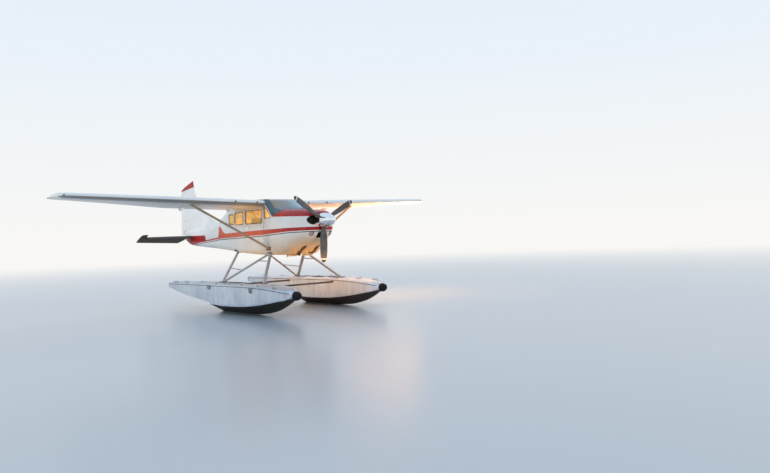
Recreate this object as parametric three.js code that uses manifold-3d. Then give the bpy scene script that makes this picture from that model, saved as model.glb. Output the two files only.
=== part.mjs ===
// A high-wing, strut-braced floatplane with one engine: metal monocoque body, three-blade propeller and
// twin aluminium floats. Millimetres. +X is forward, +Y is the port side and +Z is up. The origin is on
// the ground, midway along the aircraft, and the keels of the floats rest on Z = 0.
import * as THREE from "three";
import { mergeVertices } from "three/addons/utils/BufferGeometryUtils.js";
import Module from "manifold-3d";

const wasm = await Module();
wasm.setup();

// Driving dimensions
const TOUCH = 0.3; // gap left between two pieces that are seated on each other
const RUNNING = 6; // clearance round a piece that moves
const WALL = 40; // thickness of the cabin wall and the doors
const NOSE_X = 3262; // front of the cowling
const PROP_X = 3350; // plane of the propeller
const THRUST_Z = 2200; // height of the propeller's axis
const FIREWALL_X = 2262;
const BULKHEAD_X = -500; // back wall of the cabin
const TAIL_X = -3765; // end of the tail cone
const BOW_X = 4060; // front of the float bumpers
const RUDDER_BACK_X = -4060;
const FLOAT_Y = 1300; // the floats' centrelines are this far out
const DECK_Z = 708; // deck of the floats, amidships

const finishes = {
  white: new THREE.MeshStandardMaterial({ color: 0xe9e6e0, roughness: 0.35, metalness: 0.1 }),
  red: new THREE.MeshStandardMaterial({ color: 0xb01f18, roughness: 0.35, metalness: 0.1 }),
  alloy: new THREE.MeshStandardMaterial({ color: 0x9aa3ab, roughness: 0.5, metalness: 0.8 }),
  polished: new THREE.MeshStandardMaterial({ color: 0xd8dade, roughness: 0.12, metalness: 1.0 }),
  blade: new THREE.MeshStandardMaterial({ color: 0x55504c, roughness: 0.5, metalness: 0.4 }),
  rubber: new THREE.MeshStandardMaterial({ color: 0x17171a, roughness: 0.85, metalness: 0.0 }),
  glass: new THREE.MeshStandardMaterial({ color: 0xaecbd4, roughness: 0.1, opacity: 0.4, transparent: true }),
  seat: new THREE.MeshStandardMaterial({ color: 0xa98b5f, roughness: 0.85, metalness: 0.0 }),
  panel: new THREE.MeshStandardMaterial({ color: 0x2c2b2a, roughness: 0.7, metalness: 0.1 }),
  iron: new THREE.MeshStandardMaterial({ color: 0x4a4643, roughness: 0.7, metalness: 0.6 }),
};

const aircraft = new THREE.Group();
const radians = THREE.MathUtils.degToRad;
const point = (x, y, z) => new THREE.Vector3(x, y, z);

// Making solids

// A closed geometry as a solid that can be joined and cut.
function solidOf(geometry) {
  const bare = geometry.clone();
  bare.deleteAttribute("normal");
  bare.deleteAttribute("uv");
  const merged = mergeVertices(bare, 1e-3);
  const mesh = new wasm.Mesh({
    numProp: 3,
    vertProperties: merged.attributes.position.array,
    triVerts: new Uint32Array(merged.index.array),
  });
  return new wasm.Manifold(mesh);
}

function geometryOf(solid) {
  const mesh = solid.getMesh();
  const geometry = new THREE.BufferGeometry();
  geometry.setAttribute("position", new THREE.BufferAttribute(new Float32Array(mesh.vertProperties), 3));
  geometry.setIndex(new THREE.BufferAttribute(new Uint32Array(mesh.triVerts), 1));
  geometry.computeVertexNormals();
  return geometry;
}

const joined = (...solids) => solids.reduce((sum, solid) => sum.add(solid));
const cut = (solid, ...tools) => tools.reduce((rest, tool) => rest.subtract(tool), solid);

// The flat end of a loft: triangles that run round a ring of points one way or the other.
function endFaces(ring, start, forward) {
  const normal = point(0, 0, 0);
  ring.forEach((p, i) => normal.add(p.clone().cross(ring[(i + 1) % ring.length])));
  const size = normal.toArray().map(Math.abs);
  const dropped = size.indexOf(Math.max(...size));
  const flat = ring.map((p) => new THREE.Vector2(...p.toArray().filter((value, axis) => axis !== dropped)));
  const turn = Math.sign(THREE.ShapeUtils.area(flat));
  return THREE.ShapeUtils.triangulateShape(flat, []).map((corners) => {
    const sameTurn = Math.sign(THREE.ShapeUtils.area(corners.map((k) => flat[k]))) === turn;
    const [a, b, c] = corners.map((k) => start + k);
    return sameTurn === forward ? [a, b, c] : [a, c, b];
  });
}

// A solid through rings of points, all with the same count, closed by flat ends.
function loft(rings) {
  const count = rings[0].length;
  const faces = endFaces(rings[0], 0, false);
  for (let r = 0; r + 1 < rings.length; r++) {
    for (let i = 0; i < count; i++) {
      const a = r * count + i;
      const b = r * count + ((i + 1) % count);
      faces.push([a, b, b + count], [a, b + count, a + count]);
    }
  }
  faces.push(...endFaces(rings[rings.length - 1], (rings.length - 1) * count, true));
  const points = rings.flat();
  const volume = faces.reduce((sum, [a, b, c]) => sum + points[a].dot(points[b].clone().cross(points[c])), 0);
  const outward = volume > 0 ? faces : faces.map(([a, b, c]) => [a, c, b]);
  const geometry = new THREE.BufferGeometry();
  geometry.setAttribute("position", new THREE.Float32BufferAttribute(points.flatMap((p) => p.toArray()), 3));
  geometry.setIndex(outward.flat());
  return solidOf(geometry);
}

function box(low, high) {
  const size = high.clone().sub(low);
  const middle = low.clone().add(high).multiplyScalar(0.5);
  return solidOf(new THREE.BoxGeometry(size.x, size.y, size.z).translate(middle.x, middle.y, middle.z));
}

// A slab right across the aircraft between two stations along X.
const slab = (from, to) => box(point(from, -6000, -100), point(to, 6000, 4500));

function rod(from, to, radius, sides = 12, endRadius = radius) {
  const along = to.clone().sub(from);
  const geometry = new THREE.CylinderGeometry(endRadius, radius, along.length(), sides);
  const turn = new THREE.Quaternion().setFromUnitVectors(point(0, 1, 0), along.clone().normalize());
  const middle = from.clone().add(to).multiplyScalar(0.5);
  return solidOf(geometry.applyQuaternion(turn).translate(middle.x, middle.y, middle.z));
}

// An outline with every edge moved inwards.
function inset(outline, by) {
  const turn = Math.sign(THREE.ShapeUtils.area(outline.map(([x, z]) => new THREE.Vector2(x, z))));
  const inward = (a, b) => {
    const length = Math.hypot(b[0] - a[0], b[1] - a[1]);
    return [(-turn * (b[1] - a[1])) / length, (turn * (b[0] - a[0])) / length];
  };
  return outline.map((corner, i) => {
    const before = inward(outline.at(i - 1), corner);
    const after = inward(corner, outline[(i + 1) % outline.length]);
    const move = by / (1 + before[0] * after[0] + before[1] * after[1]);
    return [corner[0] + (before[0] + after[0]) * move, corner[1] + (before[1] + after[1]) * move];
  });
}

// An outline in the X-Z plane, carried from one Y to another.
function sidePrism(outline, fromY, toY) {
  const shape = new THREE.Shape(outline.map(([x, z]) => new THREE.Vector2(x, z)));
  const geometry = new THREE.ExtrudeGeometry(shape, { depth: toY - fromY, bevelEnabled: false });
  geometry.applyMatrix4(new THREE.Matrix4().makeBasis(point(1, 0, 0), point(0, 0, 1), point(0, -1, 0)));
  return solidOf(geometry.translate(0, toY, 0));
}

// An outline in the X-Y plane, carried from one Z to another.
function topPrism(outline, fromZ, toZ) {
  const shape = new THREE.Shape(outline.map(([x, y]) => new THREE.Vector2(x, y)));
  const geometry = new THREE.ExtrudeGeometry(shape, { depth: toZ - fromZ, bevelEnabled: false });
  return solidOf(geometry.translate(0, 0, fromZ));
}

// A streamlined strut: an oval section with its long side fore and aft.
function strut(from, to, chord, thickness, grow = 0) {
  const sides = 10;
  const run = to.clone().sub(from).normalize();
  const foreAft = point(1, 0, 0).addScaledVector(run, -run.x).normalize();
  const sideways = run.clone().cross(foreAft).normalize();
  const ring = (centre) =>
    Array.from({ length: sides }, (_, i) => {
      const angle = (2 * Math.PI * i) / sides;
      return centre
        .clone()
        .addScaledVector(foreAft, (chord / 2 + grow) * Math.cos(angle))
        .addScaledVector(sideways, (thickness / 2 + grow) * Math.sin(angle));
    });
  return loft([ring(from), ring(to)]);
}

function piece(name, shape, finish) {
  const mesh = new THREE.Mesh(shape.isBufferGeometry ? shape : geometryOf(shape), finishes[finish]);
  mesh.name = name;
  aircraft.add(mesh);
}

// A solid's geometry on the other side of the aircraft, with its faces turned back out.
function mirroredGeometry(solid) {
  const geometry = geometryOf(solid).scale(1, -1, 1);
  const turned = Array.from(geometry.index.array);
  for (let i = 0; i < turned.length; i += 3) [turned[i + 1], turned[i + 2]] = [turned[i + 2], turned[i + 1]];
  geometry.setIndex(turned);
  geometry.computeVertexNormals();
  return geometry;
}
const mirrored = (solid) => solidOf(mirroredGeometry(solid));

// A piece made on the starboard side, where Y is negative, and its mirror image to port.
function pair(name, solid, finish) {
  piece(`${name}_right`, solid, finish);
  piece(`${name}_left`, mirroredGeometry(solid), finish);
}

// Body lines

// The body from nose to tail: x, half width, bottom, top, lower corner radius, upper corner radius.
const BODY = [
  [NOSE_X, 300, 1905, 2395, 150, 150],
  [3225, 362, 1850, 2420, 200, 200],
  [3140, 412, 1765, 2448, 250, 230],
  [2960, 455, 1645, 2474, 290, 240],
  [2760, 490, 1540, 2492, 300, 235],
  [2600, 510, 1440, 2503, 250, 232],
  [2440, 525, 1390, 2514, 170, 230],
  [FIREWALL_X, 540, 1385, 2530, 130, 230],
  [1985, 560, 1385, 2580, 120, 210],
  [1645, 565, 1388, 2814, 110, 70],
  [1250, 565, 1400, 2828, 110, 50],
  [700, 555, 1430, 2772, 110, 50],
  [60, 505, 1470, 2658, 120, 60],
  [-500, 425, 1515, 2612, 140, 110],
  [-850, 378, 1540, 2530, 150, 150],
  [-1250, 330, 1566, 2368, 150, 170],
  [-1600, 290, 1590, 2285, 150, 170],
  [-2500, 190, 1645, 2235, 110, 120],
  [-3300, 110, 1715, 2180, 80, 80],
  [TAIL_X, 48, 1885, 2140, 40, 40],
];
const CORNER_STEPS = 4;

function bodyRing([x, halfWidth, bottom, top, lowRadius, highRadius], grow) {
  const corners = [
    [1, -1, lowRadius, bottom],
    [1, 1, highRadius, top],
    [-1, 1, highRadius, top],
    [-1, -1, lowRadius, bottom],
  ];
  return corners.flatMap(([side, up, radius, edge], corner) => {
    const reach = Math.max(radius + grow, 4);
    const centreY = side * (halfWidth + grow - reach);
    const centreZ = edge + up * (grow - reach);
    return Array.from({ length: CORNER_STEPS + 1 }, (_, step) => {
      const angle = radians(-90 + 90 * corner + (90 * step) / CORNER_STEPS);
      return point(x, centreY + reach * Math.cos(angle), centreZ + reach * Math.sin(angle));
    });
  });
}

// The body's skin, grown outwards or, where grow is negative, drawn in.
const body = (grow = 0) => loft(BODY.map((row) => bodyRing(row, grow)));
const bodyOutside = body();
const bodyClear = body(TOUCH);
const cabinInside = body(-WALL);

// Cabin: a hollow shell between the firewall and the back wall, with its door and window openings

const END_WALL = 30; // firewall and back wall
const BEYOND = 900; // past the body's side, for a cut made from outside
const DOOR = { front: 1560, back: 620, sill: 1490, head: 2590 };
const DOOR_WINDOW = { front: 1500, back: 690, sill: 2215, head: 2550 };
const REAR_WINDOW = { front: 560, back: 90, sill: 2215, head: 2535 };
const AFT_WINDOW = { front: 30, back: -330, sill: 2235, head: 2500 };
const SIDE_PANE = [
  [1610, 2330],
  [1890, 2330],
  [1862, 2420],
  [1700, 2590],
  [1610, 2640],
];
const SHIELD_CUT = [
  [2040, 2700],
  [1960, 2480],
  [1705, 2680],
  [1640, 2900],
  [2040, 2900],
];
const SHIELD_HALF_WIDTH = 455;

// A rectangle with cut corners as an outline in the X-Z plane.
function panelOutline({ front, back, sill, head }, corner = 40) {
  return [
    [front - corner, sill],
    [front, sill + corner],
    [front, head - corner],
    [front - corner, head],
    [back + corner, head],
    [back, head - corner],
    [back, sill + corner],
    [back + corner, sill],
  ];
}

// A pane of glass set in the middle of the wall, behind an outline seen from the side.
const GLASS_OUTSIDE = body(-14);
const GLASS_INSIDE = body(-20);
const pane = (solid) => cut(GLASS_OUTSIDE.intersect(solid), GLASS_INSIDE);
const through = (outline) => sidePrism(outline, -BEYOND, BEYOND);
const starboard = (outline) => sidePrism(outline, -BEYOND, -200);

const HINGE = { x: 1563, y: 579, radius: 9, length: 40, reach: 32 };
const HINGE_HEIGHTS = [1720, 2110];

// A hinge knuckle on the door's axis, with its leaf running forward or aft into the skin.
function knuckle(side, z, aft) {
  const onAxis = (height) => point(HINGE.x, side * HINGE.y, height);
  const barrel = rod(onAxis(z), onAxis(z + HINGE.length), HINGE.radius);
  const xs = aft ? [HINGE.x - HINGE.reach, HINGE.x] : [HINGE.x, HINGE.x + HINGE.reach];
  const ys = [side * (HINGE.y - 20), side * (HINGE.y + HINGE.radius - 1)].sort((a, b) => a - b);
  return barrel.add(box(point(xs[0], ys[0], z), point(xs[1], ys[1], z + HINGE.length)));
}

const cabinHollow = cabinInside.intersect(slab(BULKHEAD_X + END_WALL, FIREWALL_X - END_WALL));
let cabin = cut(bodyOutside.intersect(slab(BULKHEAD_X, FIREWALL_X)), cabinHollow);
cabin = cut(
  cabin,
  through(inset(panelOutline(DOOR), -RUNNING)),
  through(panelOutline(REAR_WINDOW)),
  through(panelOutline(AFT_WINDOW)),
  through(SIDE_PANE),
  sidePrism(SHIELD_CUT, -SHIELD_HALF_WIDTH, SHIELD_HALF_WIDTH),
);
for (const side of [-1, 1]) {
  for (const z of HINGE_HEIGHTS) cabin = cabin.add(knuckle(side, z, false));
}

let door = bodyOutside.intersect(starboard(panelOutline(DOOR)));
door = cut(door, cabinInside, starboard(panelOutline(DOOR_WINDOW)));
for (const z of HINGE_HEIGHTS) {
  for (const shift of [-1, 1]) door = door.add(knuckle(-1, z + shift * (HINGE.length + TOUCH), true));
}
pair("door", door, "white");

pair("door_window", pane(starboard(inset(panelOutline(DOOR_WINDOW), TOUCH))), "glass");
pair("rear_window", pane(starboard(inset(panelOutline(REAR_WINDOW), TOUCH))), "glass");
pair("aft_window", pane(starboard(inset(panelOutline(AFT_WINDOW), TOUCH))), "glass");

// Wings

// The wing by station: y, leading edge x, leading edge z, chord, angle of incidence.
const WING = [
  [440, 1690, 2702, 1626, 3.2],
  [2540, 1690, 2758, 1626, 3.2],
  [5290, 1572, 2832, 1130, 0.4],
  [5400, 1520, 2838, 1010, 0.4],
  [5458, 1420, 2843, 780, 0.4],
];
const WING_STEPS = 11;
const THICKNESS = 0.12;
const CAMBER = 0.02;
const CAMBER_AT = 0.4;
const HINGE_LINE = 0.8; // of the chord, for flaps and ailerons
const COVE = 10; // gap ahead of a control surface's round nose

// Half thickness and height of the mean line at a fraction of the chord, as fractions of the chord.
function section(t) {
  const half =
    5 * THICKNESS * (0.2969 * Math.sqrt(t) - 0.126 * t - 0.3516 * t ** 2 + 0.2843 * t ** 3 - 0.1036 * t ** 4);
  const ahead = (CAMBER / CAMBER_AT ** 2) * (2 * CAMBER_AT * t - t ** 2);
  const behind = (CAMBER / (1 - CAMBER_AT) ** 2) * (1 - 2 * CAMBER_AT + 2 * CAMBER_AT * t - t ** 2);
  return { half, mean: t < CAMBER_AT ? ahead : behind };
}

function wingPoint([y, leadX, leadZ, chord, incidence], t, height) {
  const [back, up] = [t * chord, height * chord];
  const angle = radians(incidence);
  const x = leadX - back * Math.cos(angle) + up * Math.sin(angle);
  return point(x, -y, leadZ - back * Math.sin(angle) + up * Math.cos(angle));
}

function wingRing(row, grow) {
  const turns = Array.from({ length: WING_STEPS }, (_, i) => (Math.PI * i) / (WING_STEPS - 1));
  const fractions = turns.map((turn) => (1 - Math.cos(turn)) / 2);
  const extra = grow / row[3];
  const upper = fractions.map((t) => wingPoint(row, t, section(t).mean + section(t).half + extra));
  const lower = fractions.map((t) => wingPoint(row, t, section(t).mean - section(t).half - extra));
  return [...upper, ...lower.slice(1).reverse()];
}

// The row of the wing's table at any station, by straight lines between its rows.
function wingAt(y) {
  const last = WING.findIndex((row, i) => i > 0 && (row[0] >= y || i === WING.length - 1));
  const [inner, outer] = [WING[last - 1], WING[last]];
  const share = (y - inner[0]) / (outer[0] - inner[0]);
  return inner.map((value, k) => value + share * (outer[k] - value));
}
const hingePoint = (y) => wingPoint(wingAt(y), HINGE_LINE, section(HINGE_LINE).mean);
const noseRadius = (y) => wingAt(y)[3] * section(HINGE_LINE).half;

const wingBlank = loft(WING.map((row) => wingRing(row, 0)));
const wingClear = loft(WING.map((row) => wingRing(row, TOUCH)));

// A block that holds everything behind the hinge line, moved forward by ahead, between two stations.
function behindHinge(fromY, toY, ahead) {
  const [inner, outer] = [hingePoint(fromY), hingePoint(toY)];
  const outline = [
    [inner.x + ahead, -fromY],
    [inner.x - 900, -fromY],
    [outer.x - 900, -toY],
    [outer.x + ahead, -toY],
  ];
  return topPrism(outline.reverse(), 2400, 3100);
}

// A control surface: the wing's own section behind the hinge line, with a round nose.
function controlSurface(fromY, toY) {
  const blank = wingBlank.intersect(behindHinge(fromY, toY, 0));
  const nose = rod(hingePoint(fromY), hingePoint(toY), noseRadius(fromY), 16, noseRadius(toY));
  const ends = box(point(-400, -toY, 2400), point(1000, -fromY, 3100));
  return joined(blank, nose.intersect(ends));
}

const FLAP = { inner: 612, outer: 2540 };
const AILERON = { inner: 2552, outer: 5200 };
const FLAP_ARMS = [900, 2250];
const FLAP_PIVOT_DROP = 105; // the flap's pivot below the centre of its nose
const ARM_GAP = 2 * TOUCH; // between the two arms of a flap's pivot
const ARM_THICK = 12;
const AILERON_ARMS = [2900, 4850];

// A hinge of a control surface: an arm from ahead ends on the axis in a notch, between two pins.
const HINGE_PIN = { radius: 6, notch: 46 };
const HINGE_ARM = { thick: 10, high: 16, eye: 10 };
function hingeAt(centre, axis, reach) {
  const along = axis.clone().normalize();
  const forward = point(1, 0, 0).addScaledVector(along, -along.x).normalize();
  const upward = forward.clone().cross(along);
  const frame = new THREE.Matrix4().makeBasis(forward, along, upward).setPosition(centre);
  const block = (x, length, width, height) =>
    solidOf(new THREE.BoxGeometry(length, width, height).translate(x + length / 2, 0, 0).applyMatrix4(frame));
  const pinFrom = HINGE_ARM.thick / 2 + TOUCH;
  const pinLength = HINGE_PIN.notch / 2 + 4 - pinFrom;
  const barrel = (radius, y, length) =>
    solidOf(new THREE.CylinderGeometry(radius, radius, length, 12).translate(0, y, 0).applyMatrix4(frame));
  return {
    notch: block(-16, 130, HINGE_PIN.notch, 180),
    pins: joined(
      barrel(HINGE_PIN.radius, pinFrom + pinLength / 2, pinLength),
      barrel(HINGE_PIN.radius, -pinFrom - pinLength / 2, pinLength),
    ),
    arm: joined(
      barrel(HINGE_ARM.eye, 0, HINGE_ARM.thick),
      block(0, reach, HINGE_ARM.thick, HINGE_ARM.high),
    ),
  };
}

const bay = (fromY, toY, radius) => behindHinge(fromY, toY, radius + COVE);
const flapBay = bay(0, FLAP.outer + RUNNING, noseRadius(FLAP.inner));
const aileronBay = bay(FLAP.outer + RUNNING, AILERON.outer + RUNNING, noseRadius(AILERON.inner));
let wing = cut(wingBlank, bodyClear, flapBay, aileronBay);
let flap = controlSurface(FLAP.inner, FLAP.outer);
let aileron = controlSurface(AILERON.inner, AILERON.outer);

// Flap hinges: an arm below the wing and one below the flap lie side by side on the pivot.
const flapPivot = (y) => hingePoint(y).add(point(0, 0, -FLAP_PIVOT_DROP));
for (const y of FLAP_ARMS) {
  const pivot = flapPivot(y);
  const front = hingePoint(y).x + noseRadius(y) + COVE;
  const arm = [
    [front + 260, pivot.z + 62],
    [pivot.x + 14, pivot.z - 14],
    [pivot.x - 14, pivot.z - 14],
    [pivot.x - 14, pivot.z + 14],
    [front + 4, pivot.z + 66],
    [front + 4, pivot.z + 100],
    [front + 260, pivot.z + 110],
  ];
  wing = wing.add(sidePrism(arm, -y, -y + ARM_THICK));
  const flapArm = [
    [pivot.x + 14, pivot.z - 14],
    [pivot.x + 14, pivot.z + 14],
    [pivot.x + 6, pivot.z + 90],
    [pivot.x - 60, pivot.z + 90],
    [pivot.x - 60, pivot.z + 50],
    [pivot.x - 14, pivot.z - 14],
  ];
  flap = flap.add(sidePrism(flapArm.reverse(), -y - ARM_THICK - ARM_GAP, -y - ARM_GAP));
}
for (const y of AILERON_ARMS) {
  const hinge = hingeAt(hingePoint(y), hingePoint(y + 1).sub(hingePoint(y)), noseRadius(y) + COVE + 30);
  aileron = cut(aileron, hinge.notch).add(hinge.pins);
  wing = wing.add(hinge.arm);
}
pair("wing", wing, "white");
pair("flap", flap, "white");
pair("aileron", aileron, "white");

piece("cabin", cabin, "white");

// Windshield and the panes between its posts and the doors
const shieldHalf = SHIELD_HALF_WIDTH - TOUCH;
piece("windshield", pane(sidePrism(inset(SHIELD_CUT, TOUCH), -shieldHalf, shieldHalf)), "glass");
pair("side_pane", pane(starboard(inset(SIDE_PANE, TOUCH))), "glass");

// Tail cone: hollow, open to the back wall of the cabin

const TAIL_SKIN = 22;
const HOLLOW_END_X = -3200;
const ELEVATOR_HINGE = { x: -3470, z: 1965 };
const TORQUE_TUBE = { radius: 20, half: 200 };
const tubeHoleEnd = (y) => point(ELEVATOR_HINGE.x, y, ELEVATOR_HINGE.z);
const tailCone = cut(
  bodyOutside.intersect(slab(TAIL_X, BULKHEAD_X - TOUCH)),
  body(-TAIL_SKIN).intersect(slab(HOLLOW_END_X, BULKHEAD_X)),
  rod(tubeHoleEnd(-400), tubeHoleEnd(400), TORQUE_TUBE.radius + RUNNING + 2, 16),
);

// Fin with its dorsal fillet, and the rudder

const RUDDER_HINGE_X = -3735;
const FIN_TOP = [
  [-3160, 3760],
  [-3215, 3700],
  [-4100, 3425],
  [-4100, 3760],
];
// By height: z, leading edge x, half thickness at the rudder's hinge.
const FIN = [
  [2100, -1250, 44],
  [2292, -1606, 42],
  [2526, -2211, 40],
  [2693, -2645, 38],
  [3320, -3100, 30],
  [3760, -3215, 24],
];
const FIN_STEPS = [0, 0.02, 0.08, 0.2, 0.45, 1]; // of the way from the leading edge to the back
const FIN_EDGE = 1; // half the thickness of the leading edge
const HINGE_GAP = 55; // from a tail surface's hinge forward to the back of the surface ahead of it
const finHalf = (half, t) => half * t ** 0.55 + FIN_EDGE;
const finRing = ([z, lead, half]) => {
  const run = RUDDER_HINGE_X + HINGE_GAP - lead;
  const sideOf = (side) => FIN_STEPS.map((t) => point(lead + t * run, side * finHalf(half, t), z));
  return [...sideOf(-1), ...sideOf(1).reverse()];
};
const finTopCut = sidePrism(FIN_TOP, -100, 100);
const RUDDER_ARMS = [2480, 3180];
const TAIL_ARM_REACH = 75;
let fin = cut(loft(FIN.map(finRing)), bodyClear, finTopCut);

// By height: z, half thickness at the hinge, trailing edge x.
const RUDDER = [
  [2040, 44, -4045],
  [2200, 43, RUDDER_BACK_X],
  [2700, 38, -4035],
  [3760, 24, -3960],
];
const TRAILING_HALF = 4; // half the thickness of a tail surface's trailing edge

// Half of a tail surface's section, in pairs of run and height: a round nose, then straight to the back.
function tailSection(half, back) {
  const nose = [0, 30, 60, 90].map((a) => [half * Math.cos(radians(a)), half * Math.sin(radians(a))]);
  return [...nose, [back, TRAILING_HALF]];
}
const rudderRing = ([z, half, backX]) => {
  const side = tailSection(half, backX - RUDDER_HINGE_X).map(([run, y]) => point(RUDDER_HINGE_X + run, y, z));
  return [...side, ...side.slice(1).reverse().map((p) => point(p.x, -p.y, p.z))];
};
// The rudder stops above the tail cone and the bearing, and hangs lower behind them.
const RUDDER_FOOT = [
  [-4100, 1900],
  [-4100, 2010],
  [-3812, 2075],
  [-3800, 2168],
  [-3600, 2168],
  [-3600, 1900],
];
const rudderFoot = sidePrism(RUDDER_FOOT, -100, 100);
const BEARING_TOP_Z = 2152;
const rudderAxis = (z) => point(RUDDER_HINGE_X, 0, z);
const rudderPin = rod(rudderAxis(BEARING_TOP_Z + TOUCH), rudderAxis(2180), 12);
let rudder = cut(loft(RUDDER.map(rudderRing)), finTopCut, rudderFoot).add(rudderPin);
for (const z of RUDDER_ARMS) {
  const hinge = hingeAt(rudderAxis(z), point(0, 0, 1), TAIL_ARM_REACH);
  rudder = cut(rudder, hinge.notch).add(hinge.pins);
  fin = fin.add(hinge.arm);
}
const rudderBearing = rod(rudderAxis(2100), rudderAxis(BEARING_TOP_Z), 20);
piece("tail_cone", tailCone.add(rudderBearing), "white");
piece("fin", fin, "white");
piece("rudder", rudder, "red");

// Tailplane and elevator

// By station: y, leading edge x, hinge x, trailing edge x, half thickness at the hinge.
const TAILPLANE = [
  [20, -2960, -3470, -3950, 40],
  [1480, -3120, -3470, -3815, 26],
];
const ELEVATOR_DROOP = 23;
const ELEVATOR_ARMS = [500, 1200];
const TAIL_SPAN = 1650;
const stabilizerRing = ([y, lead, hinge, , half]) => {
  const run = lead - hinge - HINGE_GAP;
  const sideOf = (side) =>
    FIN_STEPS.map((t) => point(lead - t * run, -y, ELEVATOR_HINGE.z + side * finHalf(half, t)));
  return [...sideOf(1), ...sideOf(-1).reverse()];
};
const STABILIZER_END_Y = 1472; // short of the elevator's horn
const stabilizerTip = box(point(-3700, -1600, 1700), point(-2900, -STABILIZER_END_Y, 2300));
let stabilizer = cut(loft(TAILPLANE.map(stabilizerRing)), bodyClear, stabilizerTip);

// The elevator is drawn level with its hinge at X = 0 and Z = 0, then drooped and put in place.
const ELEVATOR_INNER_Y = 155;
const elevatorRing = ([y, , hinge, back, half]) => {
  const side = tailSection(half, back - hinge).map(([run, z]) => point(run, -y, z));
  return [...side, ...side.slice(1).reverse().map((p) => point(p.x, p.y, -p.z))];
};
const elevatorHub = box(point(-700, -ELEVATOR_INNER_Y, -200), point(200, 0, 200));
const elevatorHalf = cut(loft(TAILPLANE.map(elevatorRing)), elevatorHub);
const hornRing = (y, ahead, back, half) => [
  point(ahead, -y, 0),
  point(ahead - 60, -y, half * 0.7),
  point(0, -y, half),
  point(back, -y, 4),
  point(back, -y, -4),
  point(0, -y, -half),
  point(ahead - 60, -y, -half * 0.7),
];
// By station: y, reach ahead of the hinge, trailing edge, half thickness.
const HORN = [
  [1479, 235, -344, 26],
  [1610, 225, -325, 22],
  [TAIL_SPAN, 185, -280, 10],
];
const horn = loft(HORN.map((row) => hornRing(...row)));
// Room for the rudder to swing between the two halves.
const RUDDER_WELL = [
  [-120, -60],
  [-120, -130],
  [-700, -330],
  [-700, -60],
];
const rudderWell = topPrism(RUDDER_WELL, -200, 200);
let elevatorSide = cut(joined(elevatorHalf, horn), rudderWell);
for (const y of ELEVATOR_ARMS) {
  const level = hingeAt(point(0, -y, 0), point(0, 1, 0), TAIL_ARM_REACH);
  elevatorSide = cut(elevatorSide, level.notch).add(level.pins);
  const inPlace = hingeAt(point(ELEVATOR_HINGE.x, -y, ELEVATOR_HINGE.z), point(0, 1, 0), TAIL_ARM_REACH);
  stabilizer = stabilizer.add(inPlace.arm);
}
pair("stabilizer", stabilizer, "white");
const torqueTube = rod(point(0, -TORQUE_TUBE.half, 0), point(0, TORQUE_TUBE.half, 0), TORQUE_TUBE.radius, 16);
const elevatorLevel = joined(elevatorSide, mirrored(elevatorSide), torqueTube);
const drooped = geometryOf(elevatorLevel)
  .rotateY(radians(-ELEVATOR_DROOP))
  .translate(ELEVATOR_HINGE.x, 0, ELEVATOR_HINGE.z);
piece("elevator", drooped, "white");

// Floats

const STERN_X = -1950;
// By station: x, half width, deck z, chine z, keel z.
const FLOAT = [
  [3905, 95, 572, 490, 462],
  [3820, 165, 590, 430, 385],
  [3600, 265, 625, 385, 262],
  [3200, 355, 672, 315, 118],
  [2700, 402, 700, 255, 28],
  [2200, 418, DECK_Z, 222, 0],
  [1400, 420, DECK_Z, 205, 0],
  [752, 420, DECK_Z, 205, 0],
  [748, 416, DECK_Z, 262, 112],
  [-200, 385, 703, 345, 215],
  [-1100, 300, 690, 440, 335],
  [STERN_X, 180, 668, 545, 450],
];
const KEEL_HALF = 22; // half width of the flat keel strip
const DECK_CROWN = 26;
function floatRing([x, half, deck, chine, keel], grow) {
  const low = keel - grow;
  const high = deck + grow;
  const wide = half + grow;
  const side = [
    [KEEL_HALF, low],
    [wide * 0.62, low + (chine - low) * 0.66],
    [wide, chine - grow],
    [wide, high - 55],
    [wide - 16, high - 16],
    [wide - 55, high],
    [wide * 0.45, high + DECK_CROWN * 0.8],
  ];
  const ring = [...side, [0, high + DECK_CROWN], ...side.map(([y, z]) => [-y, z]).reverse()];
  return ring.map(([y, z]) => point(x, y - FLOAT_Y, z));
}
const floatSolid = loft(FLOAT.map((row) => floatRing(row, 0)));
const floatClear = loft(FLOAT.map((row) => floatRing(row, TOUCH)));

const bumperRing = (x, half, low, high) =>
  Array.from({ length: 12 }, (_, i) => {
    const angle = (2 * Math.PI * i) / 12;
    const middle = (low + high) / 2;
    return point(x, -FLOAT_Y + half * Math.cos(angle), middle + (high - middle) * Math.sin(angle));
  });
const bumper = loft([
  bumperRing(3905 + TOUCH, 100, 392, 600),
  bumperRing(3975, 98, 394, 598),
  bumperRing(4025, 80, 416, 582),
  bumperRing(BOW_X, 38, 462, 536),
]);
pair("bow_bumper", bumper, "rubber");

// Float gear: on each side a front, a rear and a diagonal strut, two spreader bars and the steps

const FRONT_FOOT = point(2465, -1193, DECK_Z + 10);
const REAR_FOOT = point(522, -1193, DECK_Z + 8);
const FRONT_TOP = point(1792, -528, 1443);
const REAR_TOP = point(35, -400, 1500);
const inside = (from, to, share) => from.clone().lerp(to, share);
const GEAR = { chord: 105, thickness: 48 };
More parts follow.
